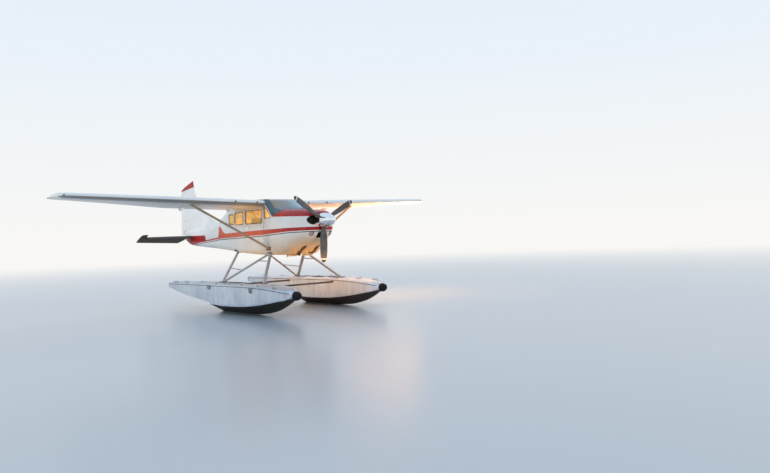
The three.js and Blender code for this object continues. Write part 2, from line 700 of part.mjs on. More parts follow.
// A gear leg that runs a little past its two ends, to be cut off at the float and the body.
function gearLeg(foot, top, grow = 0) {
  return strut(inside(foot, top, -0.02), inside(foot, top, 1.05), GEAR.chord, GEAR.thickness, grow);
}
const frontStrut = cut(gearLeg(FRONT_FOOT, FRONT_TOP), floatClear, bodyClear);
const rearStrut = cut(gearLeg(REAR_FOOT, REAR_TOP), floatClear, bodyClear);
const frontClear = gearLeg(FRONT_FOOT, FRONT_TOP, TOUCH);
const rearClear = gearLeg(REAR_FOOT, REAR_TOP, TOUCH);
const DIAGONAL = { chord: 85, thickness: 42 };
const diagonal = strut(REAR_FOOT, FRONT_TOP, DIAGONAL.chord, DIAGONAL.thickness);
const diagonalClear = strut(REAR_FOOT, FRONT_TOP, DIAGONAL.chord, DIAGONAL.thickness, TOUCH);
pair("front_float_strut", frontStrut, "alloy");
pair("rear_float_strut", rearStrut, "alloy");
pair("diagonal_float_strut", cut(diagonal, floatClear, frontClear, rearClear, bodyClear), "alloy");

// Spreader bars: from one float's inner side to the other's.
const BAR_Z = 630;
function spreaderBar(x) {
  const bar = strut(point(x, -FLOAT_Y, BAR_Z), point(x, FLOAT_Y, BAR_Z), 90, 45);
  return cut(bar, floatClear, mirrored(floatClear));
}
piece("front_spreader_bar", spreaderBar(FRONT_FOOT.x), "alloy");
piece("rear_spreader_bar", spreaderBar(REAR_FOOT.x), "alloy");

const rearStep = rod(inside(REAR_FOOT, REAR_TOP, 0.45), inside(REAR_FOOT, FRONT_TOP, 0.42), 14);
const frontStep = rod(inside(FRONT_FOOT, FRONT_TOP, 0.72), inside(REAR_FOOT, FRONT_TOP, 0.74), 14);
pair("rear_step", cut(rearStep, rearClear, diagonalClear), "alloy");
pair("front_step", cut(frontStep, frontClear, diagonalClear), "alloy");

// Wing struts: from the door post's foot to the underside of the wing.
const STRUT_FOOT = point(1770, -530, 1540);
const STRUT_HEAD = point(1395, -2585, 2735);
const wingStrut = strut(STRUT_FOOT, STRUT_HEAD, 120, 52);
pair("wing_strut", cut(wingStrut, bodyClear, wingClear), "white");

// Water rudders: a post that steers between two ears on the stern, and a blade that lifts beside its arm

const POST = { x: STERN_X - 30, radius: 14, low: 520, high: 640 };
const EAR = 12; // thickness of an ear
const ear = (z) => box(point(POST.x - 16, -FLOAT_Y - 18, z), point(STERN_X + 20, -FLOAT_Y + 18, z + EAR));
pair("float", joined(floatSolid, ear(POST.low - EAR), ear(POST.high)), "alloy");

const BLADE_PIVOT = point(POST.x - 60, -FLOAT_Y, 590);
const CHEEK = 14;
const BLADE_THICK = 12;
const post = joined(
  rod(point(POST.x, -FLOAT_Y, POST.low + TOUCH), point(POST.x, -FLOAT_Y, POST.high - TOUCH), POST.radius),
  box(
    point(BLADE_PIVOT.x - 25, -FLOAT_Y - CHEEK / 2, BLADE_PIVOT.z - 30),
    point(POST.x, -FLOAT_Y + CHEEK / 2, BLADE_PIVOT.z + 30),
  ),
);
pair("water_rudder_post", post, "alloy");

// The blade is stowed up: it lies level behind the stern. Its lower edge stays close in beside the pivot,
// so that it passes behind the post as the blade swings down.
const bladeOutline = [
  [30, -20],
  [0, -34],
  [-110, -36],
  [-160, -85],
  [-290, -80],
  [-305, 40],
  [-200, 75],
  [-40, 60],
  [30, 35],
];
const bladeY = -FLOAT_Y - CHEEK / 2 - TOUCH;
const waterBlade = sidePrism(
  bladeOutline.map(([x, z]) => [BLADE_PIVOT.x + x, BLADE_PIVOT.z + z]),
  bladeY - BLADE_THICK,
  bladeY,
);
pair("water_rudder_blade", waterBlade, "alloy");

// Cowling: hollow, open at the firewall, with two cooling inlets, a low intake and the shaft's hole

const COWL_SKIN = 18;
const INLET = { y: 266, z: 2212, halfWidth: 126, halfHeight: 108 };
const INTAKE = { halfWidth: 128, low: 1785, high: 1915 };
const SHAFT_RADIUS = 60;
const onThrustLine = (x) => point(x, 0, THRUST_Z);
const ENGINE_FRONT_X = 3060;
const ENGINE_LOW = 1960;
let cowling = cut(
  bodyOutside.intersect(slab(FIREWALL_X + TOUCH, NOSE_X)),
  body(-COWL_SKIN).intersect(slab(FIREWALL_X, NOSE_X - COWL_SKIN)),
  rod(onThrustLine(3100), onThrustLine(3400), SHAFT_RADIUS + RUNNING + 4, 20),
  box(point(3120, -INTAKE.halfWidth, INTAKE.low), point(3400, INTAKE.halfWidth, INTAKE.high)),
);
// An oval outline with its centre at one point, as a ring of corners.
const oval = (y, z, halfWidth, halfHeight) =>
  Array.from({ length: 20 }, (_, i) => {
    const angle = (2 * Math.PI * i) / 20;
    return [y + halfWidth * Math.cos(angle), z + halfHeight * Math.sin(angle)];
  });
for (const side of [-1, 1]) {
  const rim = oval(side * INLET.y, INLET.z, INLET.halfWidth, INLET.halfHeight);
  const inletAt = (x) => rim.map(([y, z]) => point(x, y, z));
  cowling = cut(cowling, loft([inletAt(3060), inletAt(3400)]));
}
const engine = box(point(FIREWALL_X + TOUCH, -240, ENGINE_LOW), point(ENGINE_FRONT_X, 240, 2330));
piece("engine_block", engine, "iron");

// Exhaust: a tailpipe from under the engine, raked back through the cowling's underside
const PIPE = { top: point(2900, -155, ENGINE_LOW + 30), low: point(2590, -232, 1370), radius: 38, hole: 52 };
const tailpipe = (radius) => rod(PIPE.top, PIPE.low, radius, 16);
const aboveBlock = box(point(2500, -400, ENGINE_LOW - TOUCH), point(3100, 0, ENGINE_LOW + 100));
piece("exhaust_pipe", cut(tailpipe(PIPE.radius), aboveBlock), "iron");
piece("cowling", cut(cowling, tailpipe(PIPE.hole)), "white");

// Propeller: a spinner with its shaft, and three blades let into it

const SPINNER = { back: 3288, radius: 180, tip: 3736 };
const SPINNER_STEPS = 9;
const SPINNER_RIM = 60; // straight part at the back of the spinner
const spinnerProfile = [
  new THREE.Vector2(0, 0),
  new THREE.Vector2(SPINNER.radius, 0),
  new THREE.Vector2(SPINNER.radius, SPINNER_RIM),
];
for (let i = 1; i <= SPINNER_STEPS; i++) {
  const angle = (Math.PI / 2) * (i / SPINNER_STEPS);
  const height = SPINNER_RIM + (SPINNER.tip - SPINNER.back - SPINNER_RIM) * Math.sin(angle);
  spinnerProfile.push(new THREE.Vector2(SPINNER.radius * Math.cos(angle) ** 0.9, height));
}
spinnerProfile[spinnerProfile.length - 1].x = 0;
const spinnerGeometry = new THREE.LatheGeometry(spinnerProfile, 28)
  .rotateZ(-Math.PI / 2)
  .translate(SPINNER.back, 0, THRUST_Z);
const shaft = rod(onThrustLine(ENGINE_FRONT_X + TOUCH), onThrustLine(SPINNER.back + 20), SHAFT_RADIUS, 20);

const BLADE_ROOT = 120; // radius of the blade's root, inside the spinner
// By radius: radius, chord, thickness, pitch in degrees.
const BLADE = [
  [BLADE_ROOT, 84, 84, 0],
  [215, 88, 76, 24],
  [320, 142, 44, 34],
  [480, 176, 30, 28],
  [680, 182, 22, 22],
  [850, 166, 16, 18],
  [960, 128, 11, 15],
  [1016, 50, 7, 14],
];
const BLADE_SIDES = 12;
const PARKED_ANGLE = -92.7; // the lowest blade's angle from the port side, seen from ahead
const ahead = point(1, 0, 0);
const bladeDirection = (degrees) => point(0, Math.cos(radians(degrees)), Math.sin(radians(degrees)));
const onBlade = (out, radius) => point(PROP_X, 0, THRUST_Z).addScaledVector(out, radius);
function propellerBlade(degrees, grow) {
  const out = bladeDirection(degrees);
  const turning = ahead.clone().cross(out);
  return loft(
    BLADE.map(([radius, chord, thickness, degreesOfPitch]) => {
      const pitch = radians(degreesOfPitch);
      const lead = turning.clone().multiplyScalar(Math.cos(pitch)).addScaledVector(ahead, Math.sin(pitch));
      const face = lead.clone().cross(out);
      return Array.from({ length: BLADE_SIDES }, (_, i) => {
        const angle = (2 * Math.PI * i) / BLADE_SIDES;
        return onBlade(out, radius)
          .addScaledVector(lead, (chord / 2 + grow) * Math.cos(angle))
          .addScaledVector(face, (thickness / 2 + grow) * Math.sin(angle));
      });
    }),
  );
}
let spinner = joined(solidOf(spinnerGeometry), shaft);
for (let n = 0; n < 3; n++) {
  const degrees = PARKED_ANGLE + 120 * n;
  const out = bladeDirection(degrees);
  const socket = rod(onBlade(out, BLADE_ROOT - TOUCH), onBlade(out, BLADE_ROOT + 10), 44);
  spinner = cut(spinner, propellerBlade(degrees, TOUCH), socket);
  piece(`propeller_blade_${n + 1}`, propellerBlade(degrees, 0), "blade");
}
piece("spinner", spinner, "polished");

// Cabin interior: two front seats, a rear bench and the instrument panel

const FLOOR_Z = 1455;
const insideWalls = body(-WALL - TOUCH);
function seat(backX, halfWidth, centreY) {
  const outline = [
    [backX + 520, FLOOR_Z + 150],
    [backX + 520, FLOOR_Z + 360],
    [backX + 110, FLOOR_Z + 330],
    [backX - 10, FLOOR_Z + 920],
    [backX - 110, FLOOR_Z + 920],
    [backX, FLOOR_Z + 150],
  ];
  const legs = [-1, 1].map((side) => {
    const y = centreY + side * (halfWidth - 40);
    return box(point(backX + 20, y - 15, FLOOR_Z - 40), point(backX + 480, y + 15, FLOOR_Z + 160));
  });
  const cushions = sidePrism(outline, centreY - halfWidth, centreY + halfWidth);
  return joined(cushions, ...legs).intersect(insideWalls);
}
pair("front_seat", seat(900, 215, -245), "seat");
piece("rear_bench", seat(-60, 400, 0), "seat");
const PANEL = [
  [1900, 2050],
  [1900, 2380],
  [2000, 2470],
  [1990, 2500],
  [1860, 2440],
  [1860, 2050],
];
piece("instrument_panel", sidePrism(PANEL, -560, 560).intersect(insideWalls), "panel");

export default aircraft;
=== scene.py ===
# A high-wing floatplane with a three-blade propeller, dressed piece by piece in the order it is put together.
# Metres. +X is forward, +Y is the port side, +Z is up, and the keels of the floats rest on Z = 0.
import math

import bmesh
import bpy
import numpy as np
from mathutils import Matrix, Vector, geometry


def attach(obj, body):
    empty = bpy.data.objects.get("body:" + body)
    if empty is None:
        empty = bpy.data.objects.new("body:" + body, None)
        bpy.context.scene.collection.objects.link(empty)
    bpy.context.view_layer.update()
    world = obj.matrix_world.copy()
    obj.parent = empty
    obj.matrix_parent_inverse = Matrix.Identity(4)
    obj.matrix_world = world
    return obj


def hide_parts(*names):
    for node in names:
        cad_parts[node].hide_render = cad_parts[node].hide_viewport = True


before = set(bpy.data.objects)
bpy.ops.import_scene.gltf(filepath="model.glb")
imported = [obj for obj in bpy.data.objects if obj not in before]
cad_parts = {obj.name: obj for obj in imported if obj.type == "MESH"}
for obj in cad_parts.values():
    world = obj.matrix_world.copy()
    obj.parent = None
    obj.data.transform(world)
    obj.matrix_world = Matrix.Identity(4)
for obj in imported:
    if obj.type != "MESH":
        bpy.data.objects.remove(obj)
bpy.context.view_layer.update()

# Camera
# It stands ahead and to starboard, low down, and looks aft past the near float to the far wing.
# Its place and lens were fitted to the span, the floats and the propeller as the photograph shows them.
PHOTO_WIDTH_PX = 770
FOCAL_PX = 686.0
CAMERA_PLACE = Vector((16.497, -10.216, 1.716))
CAMERA_AZIMUTH = math.radians(47.110)
CAMERA_PITCH = math.radians(0.133)
CAMERA_ROLL = math.radians(-2.009)
camera = bpy.data.objects.new("camera", bpy.data.cameras.new("camera"))
bpy.context.collection.objects.link(camera)
bpy.context.scene.camera = camera
camera.data.lens = camera.data.sensor_width * FOCAL_PX / PHOTO_WIDTH_PX
level_right = Vector((math.cos(CAMERA_AZIMUTH), math.sin(CAMERA_AZIMUTH), 0))
level_ahead = Vector((-math.sin(CAMERA_AZIMUTH), math.cos(CAMERA_AZIMUTH), 0))
ahead = math.cos(CAMERA_PITCH) * level_ahead + math.sin(CAMERA_PITCH) * Vector((0, 0, 1))
up = -math.sin(CAMERA_PITCH) * level_ahead + math.cos(CAMERA_PITCH) * Vector((0, 0, 1))
right = math.cos(CAMERA_ROLL) * level_right + math.sin(CAMERA_ROLL) * up
up = -math.sin(CAMERA_ROLL) * level_right + math.cos(CAMERA_ROLL) * up
camera.matrix_world = Matrix.Translation(CAMERA_PLACE) @ Matrix((right, up, -ahead)).transposed().to_4x4()

# Floor and light
# A plain pale floor with a soft sheen, a soft bright sky that it fades into, a low warm sun to port, and soft
# panels out of sight: warm ones near the floor gild the belly and the far side, as the evening light does.
FLOOR_RADIUS = 900
FLOOR_COLOUR = (0.42, 0.47, 0.52, 1)
HORIZON = (1.0, 0.985, 0.96)
SKY_STRENGTH = 0.95
HAZE_FROM = 6
HAZE_TO = 60
floor_mesh = bmesh.new()
bmesh.ops.create_circle(floor_mesh, cap_ends=True, segments=96, radius=FLOOR_RADIUS)
floor = bpy.data.objects.new("floor", bpy.data.meshes.new("floor"))
floor_mesh.to_mesh(floor.data)
floor_mesh.free()
floor.location.z = -0.001
bpy.context.collection.objects.link(floor)
floor_finish = bpy.data.materials.new("glossy_floor")
floor_finish.use_nodes = True
floor_tree = floor_finish.node_tree
floor_shader = floor_tree.nodes["Principled BSDF"]
floor_shader.inputs["Base Color"].default_value = FLOOR_COLOUR
floor_shader.inputs["Roughness"].default_value = 0.24
floor_shader.inputs["IOR"].default_value = 1.6
haze = floor_tree.nodes.new("ShaderNodeEmission")
haze.inputs["Color"].default_value = (*HORIZON, 1)
haze.inputs["Strength"].default_value = SKY_STRENGTH
reach = floor_tree.nodes.new("ShaderNodeVectorMath")
reach.operation = "LENGTH"
floor_tree.links.new(floor_tree.nodes.new("ShaderNodeTexCoord").outputs["Object"], reach.inputs[0])
fade = floor_tree.nodes.new("ShaderNodeMapRange")
fade.interpolation_type = "SMOOTHSTEP"
fade.inputs["From Min"].default_value = HAZE_FROM
fade.inputs["From Max"].default_value = HAZE_TO
floor_tree.links.new(reach.outputs["Value"], fade.inputs["Value"])
sweep = floor_tree.nodes.new("ShaderNodeMixShader")
floor_tree.links.new(fade.outputs["Result"], sweep.inputs[0])
floor_tree.links.new(floor_shader.outputs[0], sweep.inputs[1])
floor_tree.links.new(haze.outputs[0], sweep.inputs[2])
floor_tree.links.new(sweep.outputs[0], floor_tree.nodes["Material Output"].inputs["Surface"])
floor.data.materials.append(floor_finish)

world = bpy.data.worlds.new("sky")
world.use_nodes = True
sky = world.node_tree
direction = sky.nodes.new("ShaderNodeTexCoord").outputs["Generated"]
split = sky.nodes.new("ShaderNodeSeparateXYZ")
sky.links.new(direction, split.inputs[0])
ramp = sky.nodes.new("ShaderNodeValToRGB")
sky.links.new(split.outputs["Z"], ramp.inputs["Fac"])
ramp.color_ramp.elements[0].color = (*HORIZON, 1)
ramp.color_ramp.elements[1].position = 0.75
ramp.color_ramp.elements[1].color = (0.66, 0.82, 1.0, 1)
middle = ramp.color_ramp.elements.new(0.22)
middle.color = (0.88, 0.94, 1.0, 1)
sky.links.new(ramp.outputs["Color"], sky.nodes["Background"].inputs["Color"])
sky.nodes["Background"].inputs["Strength"].default_value = SKY_STRENGTH
bpy.context.scene.world = world
bpy.context.scene.view_settings.view_transform = "Standard"

SUN_DIRECTION = Vector((0.35, -0.94, -0.13))
SUN_STRENGTH = 2.2
SUN_COLOUR = (1.0, 0.74, 0.42)
sun = bpy.data.lights.new("low_sun", "SUN")
sun.energy = SUN_STRENGTH
sun.angle = math.radians(4)
sun.color = SUN_COLOUR
sun_holder = bpy.data.objects.new("low_sun", sun)
sun_holder.visible_glossy = False
sun_holder.rotation_euler = SUN_DIRECTION.to_track_quat("-Z", "Y").to_euler()
bpy.context.collection.objects.link(sun_holder)

# By name: place, what it looks at, width, height, power in watts, colour, width of its beam in degrees.
LIGHTS = {
    "chin_panel": ((4.6, 0.1, 0.15), (2.6, -0.1, 1.7), 1.6, 0.8, 4.5, (1.0, 0.50, 0.10), 62),
    "belly_panel": ((1.0, 0.0, 0.12), (1.0, 0.0, 1.5), 3.0, 1.0, 15, (1.0, 0.56, 0.16), 100),
    "flank_panel": ((1.2, -2.3, 0.95), (1.6, -0.5, 1.7), 2.4, 0.3, 3.2, (1.0, 0.56, 0.16), 90),
    "far_float_panel": ((1.8, -0.35, 0.12), (1.5, 1.3, 0.72), 4.4, 0.4, 11, (1.0, 0.42, 0.08), 56),
    "far_gear_panel": ((3.9, -0.6, 1.0), (1.7, 0.9, 1.1), 1.0, 0.6, 8, (1.0, 0.44, 0.10), 50),
    "root_panel": ((1.0, -0.85, 1.95), (1.0, -1.05, 2.7), 1.0, 0.3, 0.9, (1.0, 0.55, 0.16), 120),
    "far_wing_panel": ((0.8, 6.5, 0.15), (1.0, 3.4, 2.8), 3.0, 3.0, 1350, (1.0, 0.48, 0.20), 100),
    "tail_panel": ((-2.6, -5.5, 3.2), (-3.5, 0.0, 2.4), 1.5, 1.5, 8, (1.0, 0.95, 0.92), 50),
    "side_panel": ((1.0, -8.0, 1.6), (0.0, 0.0, 1.7), 4.0, 1.5, 20, (1.0, 0.97, 0.93), 80),
    "cabin_panel": ((0.66, 0.05, 2.50), (0.4, 0.40, 1.9), 1.2, 0.5, 19, (1.0, 0.70, 0.26), 180),
}
for name, (place, target, width, height, power, colour, beam) in LIGHTS.items():
    lamp = bpy.data.lights.new(name, "AREA")
    lamp.shape = "RECTANGLE"
    lamp.size = width
    lamp.size_y = height
    lamp.energy = power
    lamp.color = colour
    lamp.spread = math.radians(beam)
    holder = bpy.data.objects.new(name, lamp)
    holder.location = place
    holder.rotation_euler = (Vector(target) - Vector(place)).to_track_quat("-Z", "Y").to_euler()
    holder.visible_camera = False
    holder.visible_glossy = False
    bpy.context.collection.objects.link(holder)

# Cabin
# A shell of riveted sheet aluminium on frames, painted white with a red stripe. The doorways, the window
# openings and the windshield's opening are cut through it, and the wing's spars cross under its roof.
GAP = 0.0003
WALL = 0.04
FIREWALL_X = 2.262
BULKHEAD_X = -0.5
# By station, from the tail end: x, half width, bottom, top, lower corner radius, upper corner radius.
BODY = np.array([
    (-3.765, 0.048, 1.885, 2.140, 0.040, 0.040),
    (-3.300, 0.110, 1.715, 2.180, 0.080, 0.080),
    (-2.500, 0.190, 1.645, 2.235, 0.110, 0.120),
    (-1.600, 0.290, 1.590, 2.285, 0.150, 0.170),
    (-1.250, 0.330, 1.566, 2.368, 0.150, 0.170),
    (-0.850, 0.378, 1.540, 2.530, 0.150, 0.150),
    (-0.500, 0.425, 1.515, 2.612, 0.140, 0.110),
    (0.060, 0.505, 1.470, 2.658, 0.120, 0.060),
    (0.700, 0.555, 1.430, 2.772, 0.110, 0.050),
    (1.250, 0.565, 1.400, 2.828, 0.110, 0.050),
    (1.645, 0.565, 1.388, 2.814, 0.110, 0.070),
    (1.985, 0.560, 1.385, 2.580, 0.120, 0.210),
    (2.262, 0.540, 1.385, 2.530, 0.130, 0.230),
    (2.440, 0.525, 1.390, 2.514, 0.170, 0.230),
    (2.600, 0.510, 1.440, 2.503, 0.250, 0.232),
    (2.760, 0.490, 1.540, 2.492, 0.300, 0.235),
    (2.960, 0.455, 1.645, 2.474, 0.290, 0.240),
    (3.140, 0.412, 1.765, 2.448, 0.250, 0.230),
    (3.225, 0.362, 1.850, 2.420, 0.200, 0.200),
    (3.262, 0.300, 1.905, 2.395, 0.150, 0.150),
])
ARC_STEPS = 7
FLAT_STEPS = 7


def smooth(table, x):
    """A row of a table at x, on curves that run smoothly through its rows and never overshoot them."""
    xs, ys = table[:, 0], table[:, 1:]
    gaps = np.diff(xs)[:, None]
    slopes = np.diff(ys, axis=0) / gaps
    tangents = np.vstack([slopes[:1], np.zeros_like(slopes[1:]), slopes[-1:]])
    before, after = slopes[:-1], slopes[1:]
    same = before * after > 0
    tangents[1:-1][same] = (2 * before * after)[same] / (before + after)[same]
    k = int(np.clip(np.searchsorted(xs, x) - 1, 0, len(xs) - 2))
    gap = gaps[k, 0]
    t = (x - xs[k]) / gap
    start = (1 + 2 * t) * (1 - t) ** 2 * ys[k] + t * (1 - t) ** 2 * gap * tangents[k]
    return start + t * t * (3 - 2 * t) * ys[k + 1] + t * t * (t - 1) * gap * tangents[k + 1]


def body_ring(x, grow=0.0):
    """The body's cross-section at x: four flats and four round corners, grown outwards or drawn in."""
    half, bottom, top, low, high = smooth(BODY, x)
    corners = ((1, -1, low, bottom), (1, 1, high, top), (-1, 1, high, top), (-1, -1, low, bottom))
    arcs = []
    for corner, (side, upward, radius, edge) in enumerate(corners):
        reach = max(radius + grow, 0.004)
        angle = np.radians(-90 + 90 * corner + np.linspace(0, 90, ARC_STEPS + 1))
        y = side * (half + grow - reach) + reach * np.cos(angle)
        z = edge + upward * (grow - reach) + reach * np.sin(angle)
        arcs.append(np.stack([np.full_like(y, x), y, z], axis=1))
    points = []
    for arc, following in zip(arcs, arcs[1:] + arcs[:1]):
        share = np.linspace(0, 1, FLAT_STEPS + 1)[1:-1, None]
        points += [arc, arc[-1] + share * (following[0] - arc[-1])]
    return np.vstack(points)


def mesh_of(name, points, faces):
    """An object in the aircraft's frame, with its faces turned out."""
    mesh = bpy.data.meshes.new(name)
    mesh.from_pydata([tuple(map(float, p)) for p in points], [], [tuple(map(int, f)) for f in faces])
    thing = bpy.data.objects.new(name, mesh)
    bpy.context.collection.objects.link(thing)
    face_out(thing)
    return thing


def face_out(thing):
    work = bmesh.new()
    work.from_mesh(thing.data)
    bmesh.ops.recalc_face_normals(work, faces=work.faces)
    work.to_mesh(thing.data)
    work.free()


def loft(name, rings, closed=True):
    """A skin through rings with the same number of points, with a flat face on each end."""
    rings = [np.asarray(ring) for ring in rings]
    count = len(rings[0])
    faces = []
    for r in range(len(rings) - 1):
        for i in range(count):
            a, b = r * count + i, r * count + (i + 1) % count
            faces.append((a, b, b + count, a + count))
    if closed:
        faces += [range(count), range((len(rings) - 1) * count, len(rings) * count)]
    return mesh_of(name, np.vstack(rings), faces)


def body_loft(name, start, end, grow=0.0, step=0.045):
    xs = np.linspace(start, end, max(2, round(abs(end - start) / step)))
    return loft(name, [body_ring(x, grow) for x in xs])


def side_prism(name, outline, from_y, to_y):
    """A cutter: an outline of x and z carried from one y to another."""
    return loft(name, [[(x, y, z) for x, z in outline] for y in (from_y, to_y)])


def carve(thing, *cutters, operation="DIFFERENCE"):
    """Cuts one solid by others, which are used up."""
    for cutter in cutters:
        modifier = thing.modifiers.new(cutter.name, "BOOLEAN")
        modifier.object = cutter
        modifier.operation = operation
        modifier.solver = "EXACT"
    finished = thing.evaluated_get(bpy.context.evaluated_depsgraph_get())
    mesh = bpy.data.meshes.new_from_object(finished)
    thing.modifiers.clear()
    thing.data = mesh
    for cutter in cutters:
        bpy.data.objects.remove(cutter)
    return thing


def rounded(corners, radius, steps=6):
    """A closed outline with each of its corners turned into an arc."""
    corners = [Vector(corner) for corner in corners]
    outline = []
    for i, corner in enumerate(corners):
        back = (corners[i - 1] - corner).normalized()
        on = (corners[(i + 1) % len(corners)] - corner).normalized()
        half_angle = back.angle(on) / 2
        middle = corner + (back + on).normalized() * radius / math.sin(half_angle)
        start = corner + back * radius / math.tan(half_angle) - middle
        end = corner + on * radius / math.tan(half_angle) - middle
        turn = start.angle_signed(end)
        for step in range(steps + 1):
            spoke = start.copy()
            spoke.rotate(Matrix.Rotation(-turn * step / steps, 2))
            outline.append(tuple(middle + spoke))
    return outline


def rectangle(front, back, sill, head):
    return [(front, sill), (front, head), (back, head), (back, sill)]


def grown(outline, by):
    """An outline moved outwards along every edge, or inwards where by is negative."""
    points = [Vector(p) for p in outline]
    area = sum(a.cross(b) for a, b in zip(points, points[1:] + points[:1]))
    moved = []
    for i, point in enumerate(points):
        before = (point - points[i - 1]).normalized()
        after = (points[(i + 1) % len(points)] - point).normalized()
        outward = Vector((before.y + after.y, -before.x - after.x)) * math.copysign(1, area)
        moved.append(tuple(point + outward * by / (1 + before.dot(after))))
    return moved


DOOR = rectangle(1.560, 0.620, 1.490, 2.590)
DOOR_WINDOW = rounded(rectangle(1.500, 0.690, 2.215, 2.550), 0.060)
REAR_WINDOW = rounded(rectangle(0.560, 0.090, 2.215, 2.535), 0.060)
AFT_WINDOW = rounded(rectangle(0.030, -0.330, 2.235, 2.500), 0.060)
SIDE_PANE = rounded([(1.610, 2.330), (1.890, 2.330), (1.862, 2.420), (1.700, 2.590), (1.610, 2.640)], 0.022)
SHIELD = [(2.040, 2.700), (1.960, 2.480), (1.705, 2.680), (1.640, 2.900), (2.040, 2.900)]
SHIELD_HALF = 0.455
DOOR_GAP = 0.006
BEYOND = 0.9

cabin = body_loft("cabin_shell", BULKHEAD_X, FIREWALL_X)
inner = body_loft("cabin_inside", BULKHEAD_X + 0.03, FIREWALL_X - 0.03, -WALL)
cutters = [inner]
for name, outline in {
    "doorway": rounded(grown(DOOR, DOOR_GAP), 0.050),
    "rear_opening": REAR_WINDOW,
    "aft_opening": AFT_WINDOW,
    "pane_opening": SIDE_PANE,
}.items():
    cutters.append(side_prism(name, outline, -BEYOND, BEYOND))
cutters.append(side_prism("shield_opening", SHIELD, -SHIELD_HALF, SHIELD_HALF))
carve(cabin, *cutters)


def shader_start(name):
    """A new material, its nodes, its shader, and the place of a point on the aircraft."""
    made = bpy.data.materials.new(name)
    made.use_nodes = True
    tree = made.node_tree
    place = tree.nodes.new("ShaderNodeTexCoord").outputs["Object"]
    return made, tree, tree.nodes["Principled BSDF"], place


def calc(tree, operation, *values):
    node = tree.nodes.new("ShaderNodeMath")
    node.operation = operation
    for socket, value in zip(node.inputs, values):
        if isinstance(value, (int, float)):
            socket.default_value = value
        else:
            tree.links.new(value, socket)
    return node.outputs[0]


def times(tree, first, second):
    return calc(tree, "MULTIPLY", first, second)


def spread(tree, value, low, high, from_low=0.3, from_high=0.7):
    """A value such as noise, stretched to run from low to high."""
    node = tree.nodes.new("ShaderNodeMapRange")
    tree.links.new(value, node.inputs["Value"])
    for socket, number in zip(
        ("From Min", "From Max", "To Min", "To Max"), (from_low, from_high, low, high)
    ):
        node.inputs[socket].default_value = number
    return node.outputs["Result"]


def noise(tree, place, scale, detail=4.0):
    node = tree.nodes.new("ShaderNodeTexNoise")
    node.inputs["Scale"].default_value = scale
    node.inputs["Detail"].default_value = detail
    tree.links.new(place, node.inputs["Vector"])
    return node.outputs[0]


def blended(tree, share, first, second):
    """Between two colours by a share from 0 to 1."""
    node = tree.nodes.new("ShaderNodeMix")
    node.data_type = "RGBA"
    tree.links.new(share, node.inputs[0])
    for socket, value in zip((node.inputs[6], node.inputs[7]), (first, second)):
        if isinstance(value, tuple):
            socket.default_value = (*value, 1)
        else:
            tree.links.new(value, socket)
    return node.outputs[2]


def raise_by(tree, shader, height, distance):
    """Small relief on the surface, in metres."""
    node = tree.nodes.new("ShaderNodeBump")
    node.inputs["Distance"].default_value = distance
    tree.links.new(height, node.inputs["Height"])
    tree.links.new(node.outputs["Normal"], shader.inputs["Normal"])


def xyz(tree, place):
    node = tree.nodes.new("ShaderNodeSeparateXYZ")
    tree.links.new(place, node.inputs[0])
    return node.outputs


def paint(name, light, dark, rough=(0.26, 0.40), coat=0.18):
    """Gloss paint on sheet metal: faint mottling, a little dulling and the slight waves of thin sheet."""
    made, tree, shader, place = shader_start(name)
    colour = blended(tree, spread(tree, noise(tree, place, 1.7), 0, 1), dark, light)
    shader.inputs["Coat Weight"].default_value = coat
    shader.inputs["Coat Roughness"].default_value = 0.12
    shader.inputs["Specular IOR Level"].default_value = 0.32
    tree.links.new(spread(tree, noise(tree, place, 9), *rough), shader.inputs["Roughness"])
    raise_by(tree, shader, noise(tree, place, 3.2, 1), 0.004)
    tree.links.new(colour, shader.inputs["Base Color"])
    return made, tree, shader, place, colour


WHITE = (0.80, 0.80, 0.79)
WHITE_DULL = (0.70, 0.71, 0.71)
RED = (0.38, 0.008, 0.010)
# The stripe's orange amidships is painted warm reflection.
STRIPE_WARM_REFLECTION = (0.66, 0.085, 0.015)
BLACK = (0.02, 0.02, 0.022)
PAINT_X = (-3.9, 3.5)
PAINT_Z = (1.3, 2.9)


def line_height(tree, x, points):
    """The height of a painted edge above a place along the body, from points of x and z."""
    node = tree.nodes.new("ShaderNodeFloatCurve")
    curve = node.mapping.curves[0]
    scaled = [
        ((px - PAINT_X[0]) / (PAINT_X[1] - PAINT_X[0]), (pz - PAINT_Z[0]) / (PAINT_Z[1] - PAINT_Z[0]))
        for px, pz in sorted(points)
    ]
    curve.points[0].location = scaled[0]
    curve.points[-1].location = scaled[-1]
    for location in scaled[1:-1]:
        curve.points.new(*location)
    for point in curve.points:
        point.handle_type = "VECTOR"
    node.mapping.update()
    tree.links.new(spread(tree, x, 0, 1, *PAINT_X), node.inputs["Value"])
    return spread(tree, node.outputs[0], *PAINT_Z, 0, 1)


def between(tree, z, low, high):
    return times(tree, calc(tree, "GREATER_THAN", z, low), calc(tree, "LESS_THAN", z, high))


# The stripe's upper and lower edges, with its kick upwards behind the windows and the bare place aft of it.
STRIPE_TOP = [
    (3.45, 2.050), (2.50, 2.050), (0.545, 2.016), (-0.62, 1.998), (-0.78, 2.050), (-0.95, 2.200),
    (-1.08, 2.215), (-1.13, 1.905), (-2.08, 1.835), (-2.12, 1.985), (-3.85, 1.995),
]
STRIPE_LOW = [
    (3.45, 1.972), (2.49, 1.959), (1.55, 1.910), (0.545, 1.888), (-1.0, 1.868), (-2.56, 1.770),
    (-3.85, 1.60)
]
COWL_RED_LOW = [(3.45, 2.30), (2.30, 2.340), (1.96, 2.350), (1.92, 2.88), (-3.85, 2.88)]
# Gold-brown of the painted warm reflected light and shade low on the body, over the door and by the windows.
WARM_REFLECTION_GOLD = (0.42, 0.25, 0.062)
TAIL_RED_X = -3.22
TAIL_RED_TOP = 1.985
PINSTRIPE = (0.022, 0.042)
INLET = {"y": 0.266, "z": 2.212, "half_width": 0.126, "half_height": 0.108}
DUCT_FROM_X = 2.75


